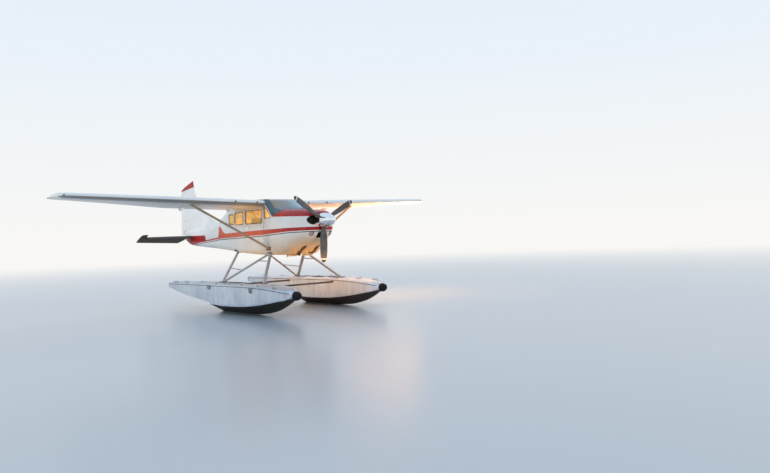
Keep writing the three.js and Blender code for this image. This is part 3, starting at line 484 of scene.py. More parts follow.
def striped_paint():
    """The body's white with its red stripe, the black pinstripe under it and the red top of the cowling."""
    made, tree, shader, place, white = paint("body_paint", WHITE, WHITE_DULL)
    x, y, z = xyz(tree, place)
    low = line_height(tree, x, STRIPE_LOW)
    red = between(tree, z, low, line_height(tree, x, STRIPE_TOP))
    red = calc(tree, "MAXIMUM", red, calc(tree, "GREATER_THAN", z, line_height(tree, x, COWL_RED_LOW)))
    tail = times(tree, calc(tree, "LESS_THAN", x, TAIL_RED_X), calc(tree, "LESS_THAN", z, TAIL_RED_TOP))
    red = calc(tree, "MAXIMUM", red, tail)
    below = calc(tree, "SUBTRACT", low, z)
    pin = between(tree, below, *PINSTRIPE)
    pin = times(tree, pin, calc(tree, "GREATER_THAN", x, TAIL_RED_X))
    # Painted shade: the body turns a darker brown-grey towards its bottom.
    belly_shade = times(
        tree, spread(tree, z, 0.35, 0.0, 1.38, 1.62), spread(tree, noise(tree, place, 4.5), 0.2, 1)
    )
    colour = blended(tree, belly_shade, white, (0.42, 0.36, 0.28))
    # Painted warm reflected light and shade in gold-brown: low on the chin and forward body, along the belly,
    # over the door and round the windows.
    low_down = spread(tree, z, 1, 0, 1.50, 1.96)
    ahead = spread(tree, x, 0, 1, 1.1, 3.0)
    warm_reflection = times(tree, low_down, calc(tree, "MULTIPLY_ADD", ahead, 0.92, 0.10))
    over_door = times(tree, spread(tree, z, 0, 0.75, 2.48, 2.60), spread(tree, x, 1, 0, 1.62, 1.66))
    over_door = times(tree, over_door, spread(tree, x, 0, 1, -0.4, 0.2))
    keel = times(tree, spread(tree, z, 0.55, 0, 1.40, 1.56), spread(tree, x, 0, 1, -1.4, 0.2))
    beside_glass = times(tree, spread(tree, z, 0, 1, 2.10, 2.24), spread(tree, x, 0, 1, -0.60, -0.25))
    beside_glass = times(tree, beside_glass, spread(tree, x, 1, 0, 1.45, 1.75))
    on_side = spread(tree, calc(tree, "ABSOLUTE", y), 0, 1, 0.40, 0.46)
    upper = calc(tree, "MAXIMUM", over_door, times(tree, beside_glass, 0.42))
    warm_reflection = calc(tree, "MAXIMUM", calc(tree, "MAXIMUM", warm_reflection, keel), times(tree, upper, on_side))
    warm_reflection = times(tree, warm_reflection, spread(tree, noise(tree, place, 6.0), 0.78, 1.0))
    colour = blended(tree, warm_reflection, colour, WARM_REFLECTION_GOLD)
    # Painted warm reflection: the red stripe turns orange amidships.
    warm_stripe = times(tree, spread(tree, x, 0, 1, 2.6, 1.4), spread(tree, x, 0, 1, -2.2, -0.8))
    colour = blended(tree, red, colour, blended(tree, warm_stripe, RED, STRIPE_WARM_REFLECTION))
    colour = blended(tree, pin, colour, BLACK)
    # Painted shade: the skin inside the two cooling inlets is near black.
    across = calc(
        tree, "DIVIDE", calc(tree, "SUBTRACT", calc(tree, "ABSOLUTE", y), INLET["y"]), INLET["half_width"]
    )
    upward = calc(tree, "DIVIDE", calc(tree, "SUBTRACT", z, INLET["z"]), INLET["half_height"])
    reach = calc(tree, "ADD", times(tree, across, across), times(tree, upward, upward))
    duct_shade = times(tree, calc(tree, "LESS_THAN", reach, 1.03), calc(tree, "GREATER_THAN", x, DUCT_FROM_X))
    colour = blended(tree, duct_shade, colour, (0.030, 0.022, 0.018))
    tree.links.new(colour, shader.inputs["Base Color"])
    return made


body_paint = striped_paint()


def dress(thing, finish, slot, *replaced, body="airframe", sharp=32):
    """Gives a piece its shading, its finish and its place on a body."""
    thing.data.polygons.foreach_set("use_smooth", [True] * len(thing.data.polygons))
    thing.data.set_sharp_from_angle(angle=math.radians(sharp))
    thing.data.materials.clear()
    thing.data.materials.append(finish)
    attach(thing, body)
    if replaced:
        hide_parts(*replaced)
    return thing


dress(cabin, body_paint, "white", "cabin")

# Tail cone
# The rear body: sheet metal wrapped round frames, tapering to the tail, with the rudder's bearing on its end.
# It is painted with the same stripe, which ends in an all-red tail.
RUDDER_HINGE_X = -3.735
tail_cone = body_loft("tail_cone_skin", -3.765, BULKHEAD_X - GAP)
dress(tail_cone, body_paint, "white", "tail_cone")


def round_angles(count):
    return np.linspace(0, 2 * math.pi, count, endpoint=False)


def rod(name, start, end, radius, sides=20):
    """A straight round bar."""
    start, end = Vector(start), Vector(end)
    across = (end - start).orthogonal().normalized()
    other = (end - start).cross(across).normalized()
    spokes = [radius * (math.cos(a) * across + math.sin(a) * other) for a in round_angles(sides)]
    return loft(name, [[centre + spoke for spoke in spokes] for centre in (start, end)])


def join(name, things):
    """Several meshes as one object."""
    work = bmesh.new()
    for thing in things:
        work.from_mesh(thing.data)
        bpy.data.objects.remove(thing)
    mesh = bpy.data.meshes.new(name)
    work.to_mesh(mesh)
    work.free()
    joined = bpy.data.objects.new(name, mesh)
    bpy.context.collection.objects.link(joined)
    return joined


bearing = rod("rudder_bearing", (RUDDER_HINGE_X, 0, 2.10), (RUDDER_HINGE_X, 0, 2.152), 0.020)
dress(bearing, body_paint, "white")

# Doors
# Each door is a pressed sheet skin on a frame, hung on two hinges at its front edge, with a window of clear
# plastic in a rubber seal and a flush handle at the back.
GRID_STEP = 0.05
PANE_DEPTHS = (-0.014, -0.020)
HINGE = {"x": 1.563, "y": 0.579, "radius": 0.009, "length": 0.040, "reach": 0.032}
HINGE_HEIGHTS = (1.720, 2.110)


def skin_y(x, z, grow):
    """How far out the body's skin is, behind a point seen from the side."""
    half, bottom, top, low, high = smooth(BODY, x)
    for radius, depth in ((high, z - (top - high)), (low, (bottom + low) - z)):
        if depth > 0:
            return half - radius + math.sqrt(max((radius + grow) ** 2 - depth**2, 0))
    return half + grow


def flat_sheet(outlines, step):
    """Points and faces of an area with holes, cut into small squares so that it can be bent."""
    flat = [[Vector((a, b, 0)) for a, b in line] for line in outlines]
    work = bmesh.new()
    verts = [work.verts.new(point) for line in flat for point in line]
    for corners in geometry.tessellate_polygon(flat):
        work.faces.new([verts[i] for i in corners])
    for axis in (Vector((1, 0, 0)), Vector((0, 1, 0))):
        reach = [point.dot(axis) for line in flat for point in line]
        for cut in np.arange(math.ceil(min(reach) / step) * step, max(reach), step):
            everything = work.verts[:] + work.edges[:] + work.faces[:]
            bmesh.ops.bisect_plane(work, geom=everything, plane_co=axis * cut, plane_no=axis)
    bmesh.ops.remove_doubles(work, verts=work.verts, dist=1e-5)
    work.verts.index_update()
    points = [tuple(vert.co)[:2] for vert in work.verts]
    faces = [[vert.index for vert in face.verts] for face in work.faces]
    edges = [[vert.index for vert in edge.verts] for edge in work.edges if len(edge.link_faces) == 1]
    work.free()
    return points, faces, edges


def slab_of(name, outlines, outer, inner, step=GRID_STEP):
    """A bent sheet with thickness: outer and inner give its two surfaces from a flat point."""
    points, faces, edges = flat_sheet(outlines, step)
    count = len(points)
    walls = [(a, b, b + count, a + count) for a, b in edges]
    back = [[k + count for k in face[::-1]] for face in faces]
    return mesh_of(name, [outer(*p) for p in points] + [inner(*p) for p in points], faces + back + walls)


def side_panel(name, outlines, side, outer, inner):
    """A panel of the body's side, between two depths from its skin."""
    def at(grow):
        return lambda x, z: (x, side * skin_y(x, z, grow), z)
    return slab_of(name, outlines, at(outer), at(inner))


def finish(name, light, dark, scale, rough, metal=0.0, bump=0.0, bump_scale=200, **sockets):
    """A plain finish with fine mottling: colour, roughness and relief all vary a little."""
    made, tree, shader, place = shader_start(name)
    share = spread(tree, noise(tree, place, scale), 0, 1)
    tree.links.new(blended(tree, share, dark, light), shader.inputs["Base Color"])
    tree.links.new(spread(tree, noise(tree, place, scale * 3), *rough), shader.inputs["Roughness"])
    shader.inputs["Metallic"].default_value = metal
    for socket, value in sockets.items():
        shader.inputs[socket.replace("_", " ")].default_value = value
    if bump:
        raise_by(tree, shader, noise(tree, place, bump_scale), bump)
    return made


# The window plastic's amber tint is painted warm light from the sunlit cabin seen through it.
glass = finish("window_plastic_warm_light", (0.92, 0.62, 0.16), (0.86, 0.52, 0.10), 3, (0.02, 0.05), Alpha=0.42)


def shield_look():
    """Plastic with painted reflection, brownish to starboard and clearer blue to port, and painted shade of
    the deck inside.
    """
    made, tree, shader, place = shader_start("windshield_plastic")
    x, y, z = xyz(tree, place)
    colour = blended(tree, spread(tree, y, 0, 1, -0.42, 0.10), (0.30, 0.265, 0.205), (0.32, 0.38, 0.40))
    colour = blended(tree, spread(tree, y, 0, 1, 0.05, 0.42), colour, (0.54, 0.74, 0.86))
    colour = blended(tree, spread(tree, z, 1, 0, 2.52, 2.64), colour, (0.12, 0.19, 0.27))
    tree.links.new(colour, shader.inputs["Base Color"])
    tree.links.new(spread(tree, noise(tree, place, 8), 0.02, 0.05), shader.inputs["Roughness"])
    shader.inputs["IOR"].default_value = 1.6
    shader.inputs["Alpha"].default_value = 0.84
    return made


shield_glass = shield_look()
rubber = finish("black_rubber", (0.030, 0.030, 0.032), (0.016, 0.016, 0.018), 12, (0.65, 0.85), bump=0.0006)
chrome = finish("bright_metal", (0.80, 0.80, 0.80), (0.70, 0.71, 0.72), 20, (0.15, 0.28), metal=1.0)
lining = finish("cabin_lining", (0.86, 0.66, 0.33), (0.72, 0.50, 0.22), 6, (0.75, 0.9), bump=0.0015,
                Sheen_Weight=0.3)

for side, word in ((-1, "right"), (1, "left")):
    body = f"door_{word}"
    outline = rounded(DOOR, 0.045)
    skin = side_panel(f"door_skin_{word}", [outline, DOOR_WINDOW], side, 0.0, -0.012)
    dress(skin, body_paint, "white", f"door_{word}", body=body)
    trim = side_panel(
        f"door_lining_{word}", [grown(outline, -0.012), grown(DOOR_WINDOW, 0.006)], side, -0.0125, -WALL
    )
    dress(trim, lining, "seat", body=body)
    pane = side_panel(f"door_pane_{word}", [grown(DOOR_WINDOW, -GAP)], side, *PANE_DEPTHS)
    dress(pane, glass, "glass", f"door_window_{word}", body=body)
    seal = side_panel(
        f"door_window_seal_{word}", [grown(DOOR_WINDOW, 0.010), grown(DOOR_WINDOW, -0.006)], side, 0.003,
        0.0002
    )
    dress(seal, rubber, "rubber", body=body)
    parts = []
    for z in HINGE_HEIGHTS:
        for shift in (-1, 1):
            start = z + shift * (HINGE["length"] + GAP)
            place = (HINGE["x"], side * HINGE["y"])
            parts.append(
                rod("barrel", (*place, start), (*place, start + HINGE["length"]), HINGE["radius"], 16)
            )
            leaf = [(HINGE["x"], start), (HINGE["x"] - HINGE["reach"], start)]
            leaf += [(a, start + HINGE["length"]) for a, _ in leaf[::-1]]
            parts.append(side_panel("leaf", [leaf], side, 0.014, 0.0))
    dress(join(f"door_hinges_{word}", parts), chrome, "alloy", body=body)
    handle_outline = rounded(rectangle(0.83, 0.69, 2.075, 2.105), 0.012)
    handle = side_panel(f"door_handle_{word}", [handle_outline], side, 0.016, 0.006)
    escutcheon = side_panel(
        "handle_base", [rounded(rectangle(0.865, 0.67, 2.060, 2.120), 0.022)], side, 0.0055, 0.0
    )
    dress(join(f"door_handle_{word}", [handle, escutcheon]), chrome, "alloy", body=body)
    for name, window in (
        ("rear_window", REAR_WINDOW), ("aft_window", AFT_WINDOW), ("side_pane", SIDE_PANE)
    ):
        pane = side_panel(f"{name}_glass_{word}", [grown(window, -GAP)], side, *PANE_DEPTHS)
        dress(pane, glass, "glass", f"{name}_{word}")
        ring = [grown(window, 0.010), grown(window, -0.005)]
        dress(side_panel(f"{name}_seal_{word}", ring, side, 0.003, 0.0002), rubber, "rubber")
    knuckles = []
    for z in HINGE_HEIGHTS:
        place = (HINGE["x"], side * HINGE["y"])
        knuckles.append(rod("barrel", (*place, z), (*place, z + HINGE["length"]), HINGE["radius"], 16))
        leaf = rectangle(HINGE["x"] + HINGE["reach"], HINGE["x"], z, z + HINGE["length"])
        knuckles.append(side_panel("leaf", [leaf], side, 0.014, 0.0))
    dress(join(f"post_hinges_{word}", knuckles), chrome, "alloy")

# Windshield
# One blown sheet of tinted plastic is wrapped from post to post and screwed under a metal strip all round.
# It is cut from the body's own curve, a little below the skin.
shield = body_loft("windshield_glass", 1.55, 2.10, -0.014, step=0.02)
shield_back = body_loft("shield_back", 1.50, 2.15, -0.020, step=0.02)
carve(shield, shield_back)
keep = side_prism("shield_outline", grown(SHIELD, -GAP), -SHIELD_HALF + GAP, SHIELD_HALF - GAP)
carve(shield, keep, operation="INTERSECT")
dress(shield, shield_glass, "glass", "windshield")

# The dark edge of the windshield wraps round to the side panes and runs ahead over the deck in a curve.
BAND_REAR_TOP = (1.545, 2.850)
BAND_REAR_LOW = (1.968, 2.350)
BAND_FRONT = [(2.020, 2.372), (2.110, 2.418), (2.180, 2.456), (2.240, 2.496)]
band_finish = finish(
    "windshield_edge", (0.085, 0.145, 0.20), (0.060, 0.095, 0.115), 3, (0.05, 0.10), IOR=1.55
)
band = body_loft("windshield_band", 1.50, 2.256, 0.0034, step=0.02)
carve(band, body_loft("band_back", 1.45, 2.30, GAP, step=0.02))
band_outline = [BAND_REAR_TOP, BAND_REAR_LOW, *BAND_FRONT, (BAND_FRONT[-1][0], BAND_REAR_TOP[1])]
carve(band, side_prism("band_outline", band_outline, -BEYOND, BEYOND), operation="INTERSECT")
carve(
    band,
    side_prism("shield_opening", grown(SHIELD, 0.002), -SHIELD_HALF - 0.002, SHIELD_HALF + 0.002),
    side_prism("pane_openings", grown(SIDE_PANE, 0.011), -BEYOND, BEYOND),
)
dress(band, band_finish, "glass")

# Wings
# Aluminium skins riveted over two spars and a row of ribs, with a drawn-in root, a moulded tip and an open
# cove behind the rear spar where the flap and the aileron hang on their arms.
# By station from the middle: y, leading edge x and z, chord, angle of incidence.
WING = np.array([
    (0.440, 1.690, 2.702, 1.626, 3.2),
    (2.540, 1.690, 2.758, 1.626, 3.2),
    (5.290, 1.572, 2.832, 1.130, 0.4),
    (5.400, 1.520, 2.838, 1.010, 0.4),
    (5.458, 1.420, 2.843, 0.780, 0.4),
])
WING_THICKNESS = 0.12
CAMBER = 0.02
CAMBER_AT = 0.4
HINGE_LINE = 0.8
COVE = 0.010
RUNNING = 0.006
FLAP = (0.612, 2.540)
AILERON = (2.552, 5.200)
TIP_START = 5.400
FLAP_HINGES = (0.900, 2.250)
AILERON_HINGES = (2.900, 4.850)
PIVOT_DROP = 0.105
RIVET = {"radius": 0.0045, "height": 0.0018, "pitch": 0.045}


def section(t):
    """Half thickness and mean line at a fraction of the chord, as fractions of the chord."""
    bulge = 0.2969 * math.sqrt(t) - 0.126 * t - 0.3516 * t**2 + 0.2843 * t**3 - 0.1036 * t**4
    ahead = CAMBER / CAMBER_AT**2 * (2 * CAMBER_AT * t - t * t)
    behind = CAMBER / (1 - CAMBER_AT) ** 2 * (1 - 2 * CAMBER_AT + 2 * CAMBER_AT * t - t * t)
    return 5 * WING_THICKNESS * bulge, ahead if t < CAMBER_AT else behind


def wing_at(y):
    return [float(np.interp(y, WING[:, 0], WING[:, k])) for k in range(1, 5)]


def wing_point(y, t, height):
    """A point of the starboard wing, height being above the chord line as a fraction of the chord."""
    lead_x, lead_z, chord, incidence = wing_at(y)
    back, lift, angle = t * chord, height * chord, math.radians(incidence)
    x = lead_x - back * math.cos(angle) + lift * math.sin(angle)
    return Vector((x, -y, lead_z - back * math.sin(angle) + lift * math.cos(angle)))


def wing_skin(y, t, side, out=0.0):
    """A point on the wing's upper (1) or lower (-1) skin, moved out from it."""
    half, mean = section(t)
    full = math.sqrt(max(1 - (max(y - TIP_START, 0) / 0.059) ** 2, 0))
    return wing_point(y, t, mean + side * (half * full + out / wing_at(y)[2] + 0.0006))


def hinge_point(y):
    return wing_point(y, HINGE_LINE, section(HINGE_LINE)[1])


def nose_radius(y):
    return wing_at(y)[2] * section(HINGE_LINE)[0]


def wing_ring(y, last=1.0, out=0.0, steps=18):
    """The wing's section at a station, from the leading edge back to a fraction of the chord."""
    ts = [last * (1 - math.cos(math.pi * k / (steps - 1) * 0.5)) for k in range(steps)]
    ts = [t**1.15 * last ** (-0.15) for t in ts]
    upper = [wing_skin(y, t, 1, out) for t in ts]
    lower = [wing_skin(y, t, -1, out) for t in ts[:0:-1]]
    return upper, lower


def cove_start(y):
    start = FLAP[0] if y <= FLAP[1] + RUNNING else AILERON[0]
    return HINGE_LINE - (nose_radius(start) + COVE) / wing_at(y)[2]


def box_wing(name, stations):
    """The part of the wing ahead of the flap and the aileron, with a hollow back."""
    rings = []
    for y in stations:
        upper, lower = wing_ring(y, cove_start(y))
        top, foot = upper[-1], lower[0]
        hollow = [
            top.lerp(foot, s) + Vector((0.055 * math.sin(math.pi * s) ** 0.5, 0, 0))
            for s in (0.08, 0.3, 0.7, 0.92)
        ]
        rings.append(upper + hollow + lower)
    return loft(name, rings)


def block(low, high):
    """A cutter with its sides along the axes."""
    (ax, ay, az), (bx, by, bz) = low, high
    corners = [(ax, ay), (bx, ay), (bx, by), (ax, by)]
    return loft("block", [[(x, y, z) for x, y in corners] for z in (az, bz)])


def framed_block(name, axes, x, length, width, height):
    """A bar centred on the X axis of a frame, from x on for its length."""
    thing = block((x, -width / 2, -height / 2), (x + length, width / 2, height / 2))
    thing.name = name
    thing.data.transform(axes)
    face_out(thing)
    return thing


def hinge_axis(y):
    return hinge_point(y + 0.001) - hinge_point(y)


def hinge_at(centre, along, reach):
    """A hinge of a control surface: the notch for it, its two pins, and the arm from ahead with its eye."""
    along = Vector(along).normalized()
    forward = (Vector((1, 0, 0)) - along * along.x).normalized()
    axes = Matrix((forward, along, forward.cross(along))).transposed().to_4x4()
    axes.translation = centre
    centre = Vector(centre)
    notch = framed_block("notch", axes, -0.016, 0.130, 0.046, 0.180)
    pins = join("pins", [
        rod("pin", centre + along * side * 0.0053, centre + along * side * 0.027, 0.006, 12)
        for side in (-1, 1)
    ])
    eye = rod("eye", centre - along * 0.005, centre + along * 0.005, 0.010, 20)
    arm = framed_block("arm", axes, 0, reach, 0.010, 0.016)
    return notch, pins, join("arm", [eye, arm])


def hinges(places):
    """The notches, pins and arms of a row of hinges, as three lists."""
    return [list(parts) for parts in zip(*[hinge_at(*place) for place in places])]


def rivets(name, places, size=RIVET):
    """Rows of rivet heads: small domes at points with outward normals."""
    points, faces = [], []
    for centre, normal in places:
        normal = Vector(normal).normalized()
        across = normal.orthogonal().normalized()
        other = normal.cross(across)
        first = len(points)
        for share, lift in ((1.0, -0.3), (0.62, 1.0)):
            for k in range(6):
                angle = math.pi * k / 3
                spoke = across * math.cos(angle) + other * math.sin(angle)
                points.append(
                    Vector(centre) + spoke * size["radius"] * share + normal * size["height"] * lift
                )
        faces += [
            (first + k, first + (k + 1) % 6, first + (k + 1) % 6 + 6, first + k + 6) for k in range(6)
        ]
        faces.append(range(first + 6, first + 12))
    mesh = bpy.data.meshes.new(name)
    mesh.from_pydata([tuple(p) for p in points], [], [tuple(f) for f in faces])
    thing = bpy.data.objects.new(name, mesh)
    bpy.context.collection.objects.link(thing)
    return thing


def mirrored(thing, name):
    """The same piece on the other side of the aircraft."""
    twin = bpy.data.objects.new(name, thing.data.copy())
    bpy.context.collection.objects.link(twin)
    twin.data.transform(Matrix.Diagonal((1, -1, 1, 1)))
    twin.data.flip_normals()
    return twin


def dress_pair(thing, look, slot, *replaced, body="airframe", sharp=32):
    """Dresses a piece made on the starboard side, and its mirror image to port."""
    name = thing.name
    twin = mirrored(thing, f"{name}_left")
    thing.name = f"{name}_right"
    for word, item in (("right", thing), ("left", twin)):
        on = body if body == "airframe" else f"{body}_{word}"
        dress(item, look, slot, *[f"{node}_{word}" for node in replaced], body=on, sharp=sharp)


def flat_paint(name, light, dark):
    made, tree, shader, place, colour = paint(name, light, dark)
    return made


LEAD_Z_MIDDLE = 2.6903
# Painted shade under the leading edge, and painted warm light under the wing near the root.
LEAD_SHADE = (0.20, 0.18, 0.16)
UNDER_WARM_LIGHT = (0.56, 0.45, 0.33)


def wing_paint():
    """White, with painted shade under the leading edge, deeper to starboard, and painted warm light under the
    root.
    """
    made, tree, shader, place, white = paint("wing_paint", WHITE, WHITE_DULL)
    x, y, z = xyz(tree, place)
    out = calc(tree, "ABSOLUTE", y)
    bend, tip = WING[1], WING[2]
    sweep = calc(tree, "MAXIMUM", calc(tree, "SUBTRACT", out, float(bend[0])), 0.0)
    lead = calc(tree, "MULTIPLY_ADD", sweep, float((tip[1] - bend[1]) / (tip[0] - bend[0])), float(bend[1]))
    height = calc(
        tree, "MULTIPLY_ADD", out, float((bend[2] - WING[0, 2]) / (bend[0] - WING[0, 0])), LEAD_Z_MIDDLE
    )
    ahead = spread(tree, calc(tree, "SUBTRACT", lead, x), 1, 0, 0.10, 0.20)
    under = spread(tree, calc(tree, "SUBTRACT", height, z), 0, 1, -0.012, 0.004)
    lead_shade = times(tree, times(tree, ahead, under), 0.85)
    under_warm_light = times(tree, under, spread(tree, out, 0.85, 0.42, 0.6, 2.0))
    under_warm_light = times(tree, under_warm_light, spread(tree, y, 0.8, 1.0, -0.3, 0.3))
    colour = blended(tree, under_warm_light, white, UNDER_WARM_LIGHT)
    lead_shade = times(tree, lead_shade, spread(tree, y, 1.0, 0.15, -0.3, 0.3))
    tree.links.new(blended(tree, lead_shade, colour, LEAD_SHADE), shader.inputs["Base Color"])
    return made


white_paint = flat_paint("white_paint", WHITE, WHITE_DULL)
wing_finish = wing_paint()
# Painted shade: the stabilizer and elevator are white, but are given a dark brown-grey for the shade on them.
tailplane_shade_paint = paint("tailplane_shade_paint", (0.092, 0.058, 0.036), (0.068, 0.043, 0.028), (0.50, 0.65), 0.0)[0]
# Painted shade and warm reflected light: the white wing struts are given a tan grey-brown.
strut_shade_paint = flat_paint("strut_shade_paint", (0.42, 0.33, 0.22), (0.31, 0.24, 0.16))

stations = [0.44, *np.arange(0.60, AILERON[1], 0.23), AILERON[1] + RUNNING]
wing = box_wing("wing_skin", stations)
tip_rings = []
for y in [AILERON[1] + RUNNING, 5.25, 5.29, 5.33, 5.37, 5.40, 5.415, 5.43, 5.443, 5.452, 5.4575]:
    upper, lower = wing_ring(y, steps=24)
    tip_rings.append(upper + lower)
carve(wing, body_loft("body_cutter", -0.3, 2.0, GAP))
arms = []
for y in FLAP_HINGES:
    pivot = hinge_point(y) - Vector((0, 0, PIVOT_DROP))
    front = hinge_point(y).x + nose_radius(y) + COVE
    arm = [(front + 0.260, pivot.z + 0.062)]
    arm += [(pivot.x + a, pivot.z + b) for a, b in ((0.014, -0.014), (-0.014, -0.014), (-0.014, 0.014))]
    arm += [(front + a, pivot.z + b) for a, b in ((0.004, 0.066), (0.004, 0.100), (0.260, 0.110))]
    arms.append(side_prism("flap_arm", arm, -y, -y + 0.012))
for y in AILERON_HINGES:
    notch, pins, arm = hinge_at(hinge_point(y), hinge_axis(y), nose_radius(y) + COVE + 0.03)
    bpy.data.objects.remove(notch)
    bpy.data.objects.remove(pins)
    arms.append(arm)
wing = join("wing_skin", [wing, loft("tip", tip_rings)])
dress_pair(wing, wing_finish, "white", "wing")
dress_pair(join("wing_hinge_arms", arms), white_paint, "white")

# Flaps and ailerons
# Thin sheet skins stiffened by rolled beads that run fore and aft, on a round nose. The flaps ride on arms
# below the wing, and the ailerons on pins in notches in their noses.
BEAD = {"pitch": 0.112, "height": 0.0035, "steps": 6}


def bead_height(k):
    return BEAD["height"] * max(0, math.cos(2 * math.pi * (k / BEAD["steps"] - 0.5))) ** 2


def beaded_stations(low, high):
    """Places along a beaded skin, each with the height of the bead there."""
    count = round((high - low) / BEAD["pitch"]) * BEAD["steps"]
    return [(low + (high - low) * k / count, bead_height(k)) for k in range(count + 1)]


def beaded_surface(name, from_y, to_y):
    """A control surface with beads that fade out towards its nose and its trailing edge."""
    rings = []
    for y, bead in beaded_stations(from_y, to_y):
        centre, radius = hinge_point(y), nose_radius(y)
        nose = []
        for angle in np.radians(np.linspace(84, -84, 9)):
            nose.append(centre + Vector((radius * math.cos(angle), 0, radius * math.sin(angle))))
        ts = np.linspace(HINGE_LINE + 0.004, 1, 9)
        fade = [math.sin(math.pi * min(max((t - 0.82) / 0.165, 0), 1)) ** 0.6 for t in ts]
        upper = [wing_skin(y, t, 1, bead * f) for t, f in zip(ts, fade)]
        lower = [wing_skin(y, t, -1, bead * f) for t, f in zip(ts, fade)]
        rings.append(upper[::-1] + nose + lower)
    return loft(name, rings)


flap = beaded_surface("flap_skin", *FLAP)
dress_pair(flap, white_paint, "white", "flap", body="flap")
flap_arms = []
for y in FLAP_HINGES:
    pivot = hinge_point(y) - Vector((0, 0, PIVOT_DROP))
    outline = [(14, -14), (14, 14), (6, 90), (-60, 90), (-60, 50), (-14, -14)]
    outline = [(pivot.x + a / 1000, pivot.z + b / 1000) for a, b in outline]
    flap_arms.append(side_prism("flap_arm", outline, -y - 0.0126, -y - 0.0006))
dress_pair(join("flap_arms", flap_arms), white_paint, "white", body="flap")

aileron = beaded_surface("aileron_skin", *AILERON)
notches, pins, arms = hinges([(hinge_point(y), hinge_axis(y), 0.05) for y in AILERON_HINGES])
for arm in arms:
    bpy.data.objects.remove(arm)
carve(aileron, *notches)
dress_pair(aileron, white_paint, "white", "aileron", body="aileron")
dress_pair(join("aileron_pins", pins), chrome, "alloy", body="aileron")

# Fin and rudder
# The fin and its long dorsal fillet are one riveted skin; the rudder behind it has beaded skins and a moulded
# cap. Both are cut off along one sloping line, with red caps above white skins.
FIN = np.array([
    (2.100, -1.250, 0.044), (2.292, -1.606, 0.042), (2.526, -2.211, 0.040),
    (2.693, -2.645, 0.038), (3.320, -3.100, 0.030), (3.760, -3.215, 0.024),
])
RUDDER = np.array([
    (2.040, 0.044, -4.045), (2.200, 0.043, -4.060), (2.700, 0.038, -4.035), (3.760, 0.024, -3.960),
])
FIN_TOP = [(-3.160, 3.760), (-3.215, 3.700), (-4.100, 3.425), (-4.100, 3.760)]
CAP_LOW = ((-3.152, 3.506), (-3.861, 3.418))
RUDDER_FOOT = [
    (-4.100, 1.900), (-4.100, 2.010), (-3.812, 2.075), (-3.800, 2.168), (-3.600, 2.168), (-3.600, 1.900),
]
HINGE_GAP = 0.055
TAIL_ARM = 0.075
TRAILING_HALF = 0.004
RUDDER_ARMS = (2.480, 3.180)
FIN_STEPS = [0, 0.003, 0.01, 0.025, 0.05, 0.09, 0.15, 0.22, 0.32, 0.45, 0.6, 0.8, 1]


def fin_half(half, t):
    return half * t**0.55 + 0.001


def capped_paint():
    """White with a red cap whose lower edge runs along the sloping top."""
    made, tree, shader, place, white = paint("fin_paint", WHITE, WHITE_DULL)
    x, y, z = xyz(tree, place)
    (front_x, front_z), (back_x, back_z) = CAP_LOW
    slope = (front_z - back_z) / (front_x - back_x)
    edge = calc(tree, "MULTIPLY_ADD", x, slope, front_z - slope * front_x)
    cap = calc(tree, "GREATER_THAN", z, edge)
    tree.links.new(blended(tree, cap, white, RED), shader.inputs["Base Color"])
    return made


fin_paint = capped_paint()
rings = []
for z in np.linspace(2.1, 3.76, 34):
    lead, half = (float(np.interp(z, FIN[:, 0], FIN[:, k])) for k in (1, 2))
    run = RUDDER_HINGE_X + HINGE_GAP - lead
    side = [(lead + t * run, fin_half(half, t), z) for t in FIN_STEPS]
    rings.append([(x, -y, z) for x, y, z in side] + side[::-1])
fin = loft("fin_skin", rings)
carve(fin, body_loft("body_cutter", -3.765, -0.5, GAP), side_prism("top_cut", FIN_TOP, -0.1, 0.1))
dress(fin, fin_paint, "white", "fin")


def tail_section(half, back, bead):
    """Half of a tail surface's section behind its hinge, in run and height."""
    nose = [(half * math.cos(a), half * math.sin(a)) for a in np.radians(np.linspace(0, 90, 8))]
    flat = []
    for s in (0.08, 0.16, 0.35, 0.6, 0.84, 0.93, 1):
        swell = bead * math.sin(math.pi * min(max((s - 0.08) / 0.85, 0), 1)) ** 0.6
        flat.append((s * back, half + s * (TRAILING_HALF - half) + swell))
    return nose + flat


RUDDER_SPAN = (2.04, 3.76)
RUDDER_BEADS = (2.25, 3.36)
rings = []
for z, bead in beaded_stations(*RUDDER_SPAN):
    half, back = (float(np.interp(z, RUDDER[:, 0], RUDDER[:, j])) for j in (1, 2))
    bead = bead if RUDDER_BEADS[0] < z < RUDDER_BEADS[1] else 0
    side = [(RUDDER_HINGE_X + run, y, z) for run, y in tail_section(half, back - RUDDER_HINGE_X, bead)]
    rings.append(side + [(x, -y, z) for x, y, z in side[:0:-1]])
rudder = loft("rudder_skin", rings)
notches, pins, arms = hinges([((RUDDER_HINGE_X, 0, z), (0, 0, 1), TAIL_ARM) for z in RUDDER_ARMS])
carve(rudder, side_prism("top", FIN_TOP, -0.1, 0.1), side_prism("foot", RUDDER_FOOT, -0.1, 0.1), *notches)
pins.append(rod("foot_pin", (RUDDER_HINGE_X, 0, 2.1523), (RUDDER_HINGE_X, 0, 2.180), 0.012))
dress(rudder, fin_paint, "red", "rudder", body="rudder")
dress(join("rudder_pins", pins), chrome, "alloy", body="rudder")
dress(join("fin_hinge_arms", arms), white_paint, "white")

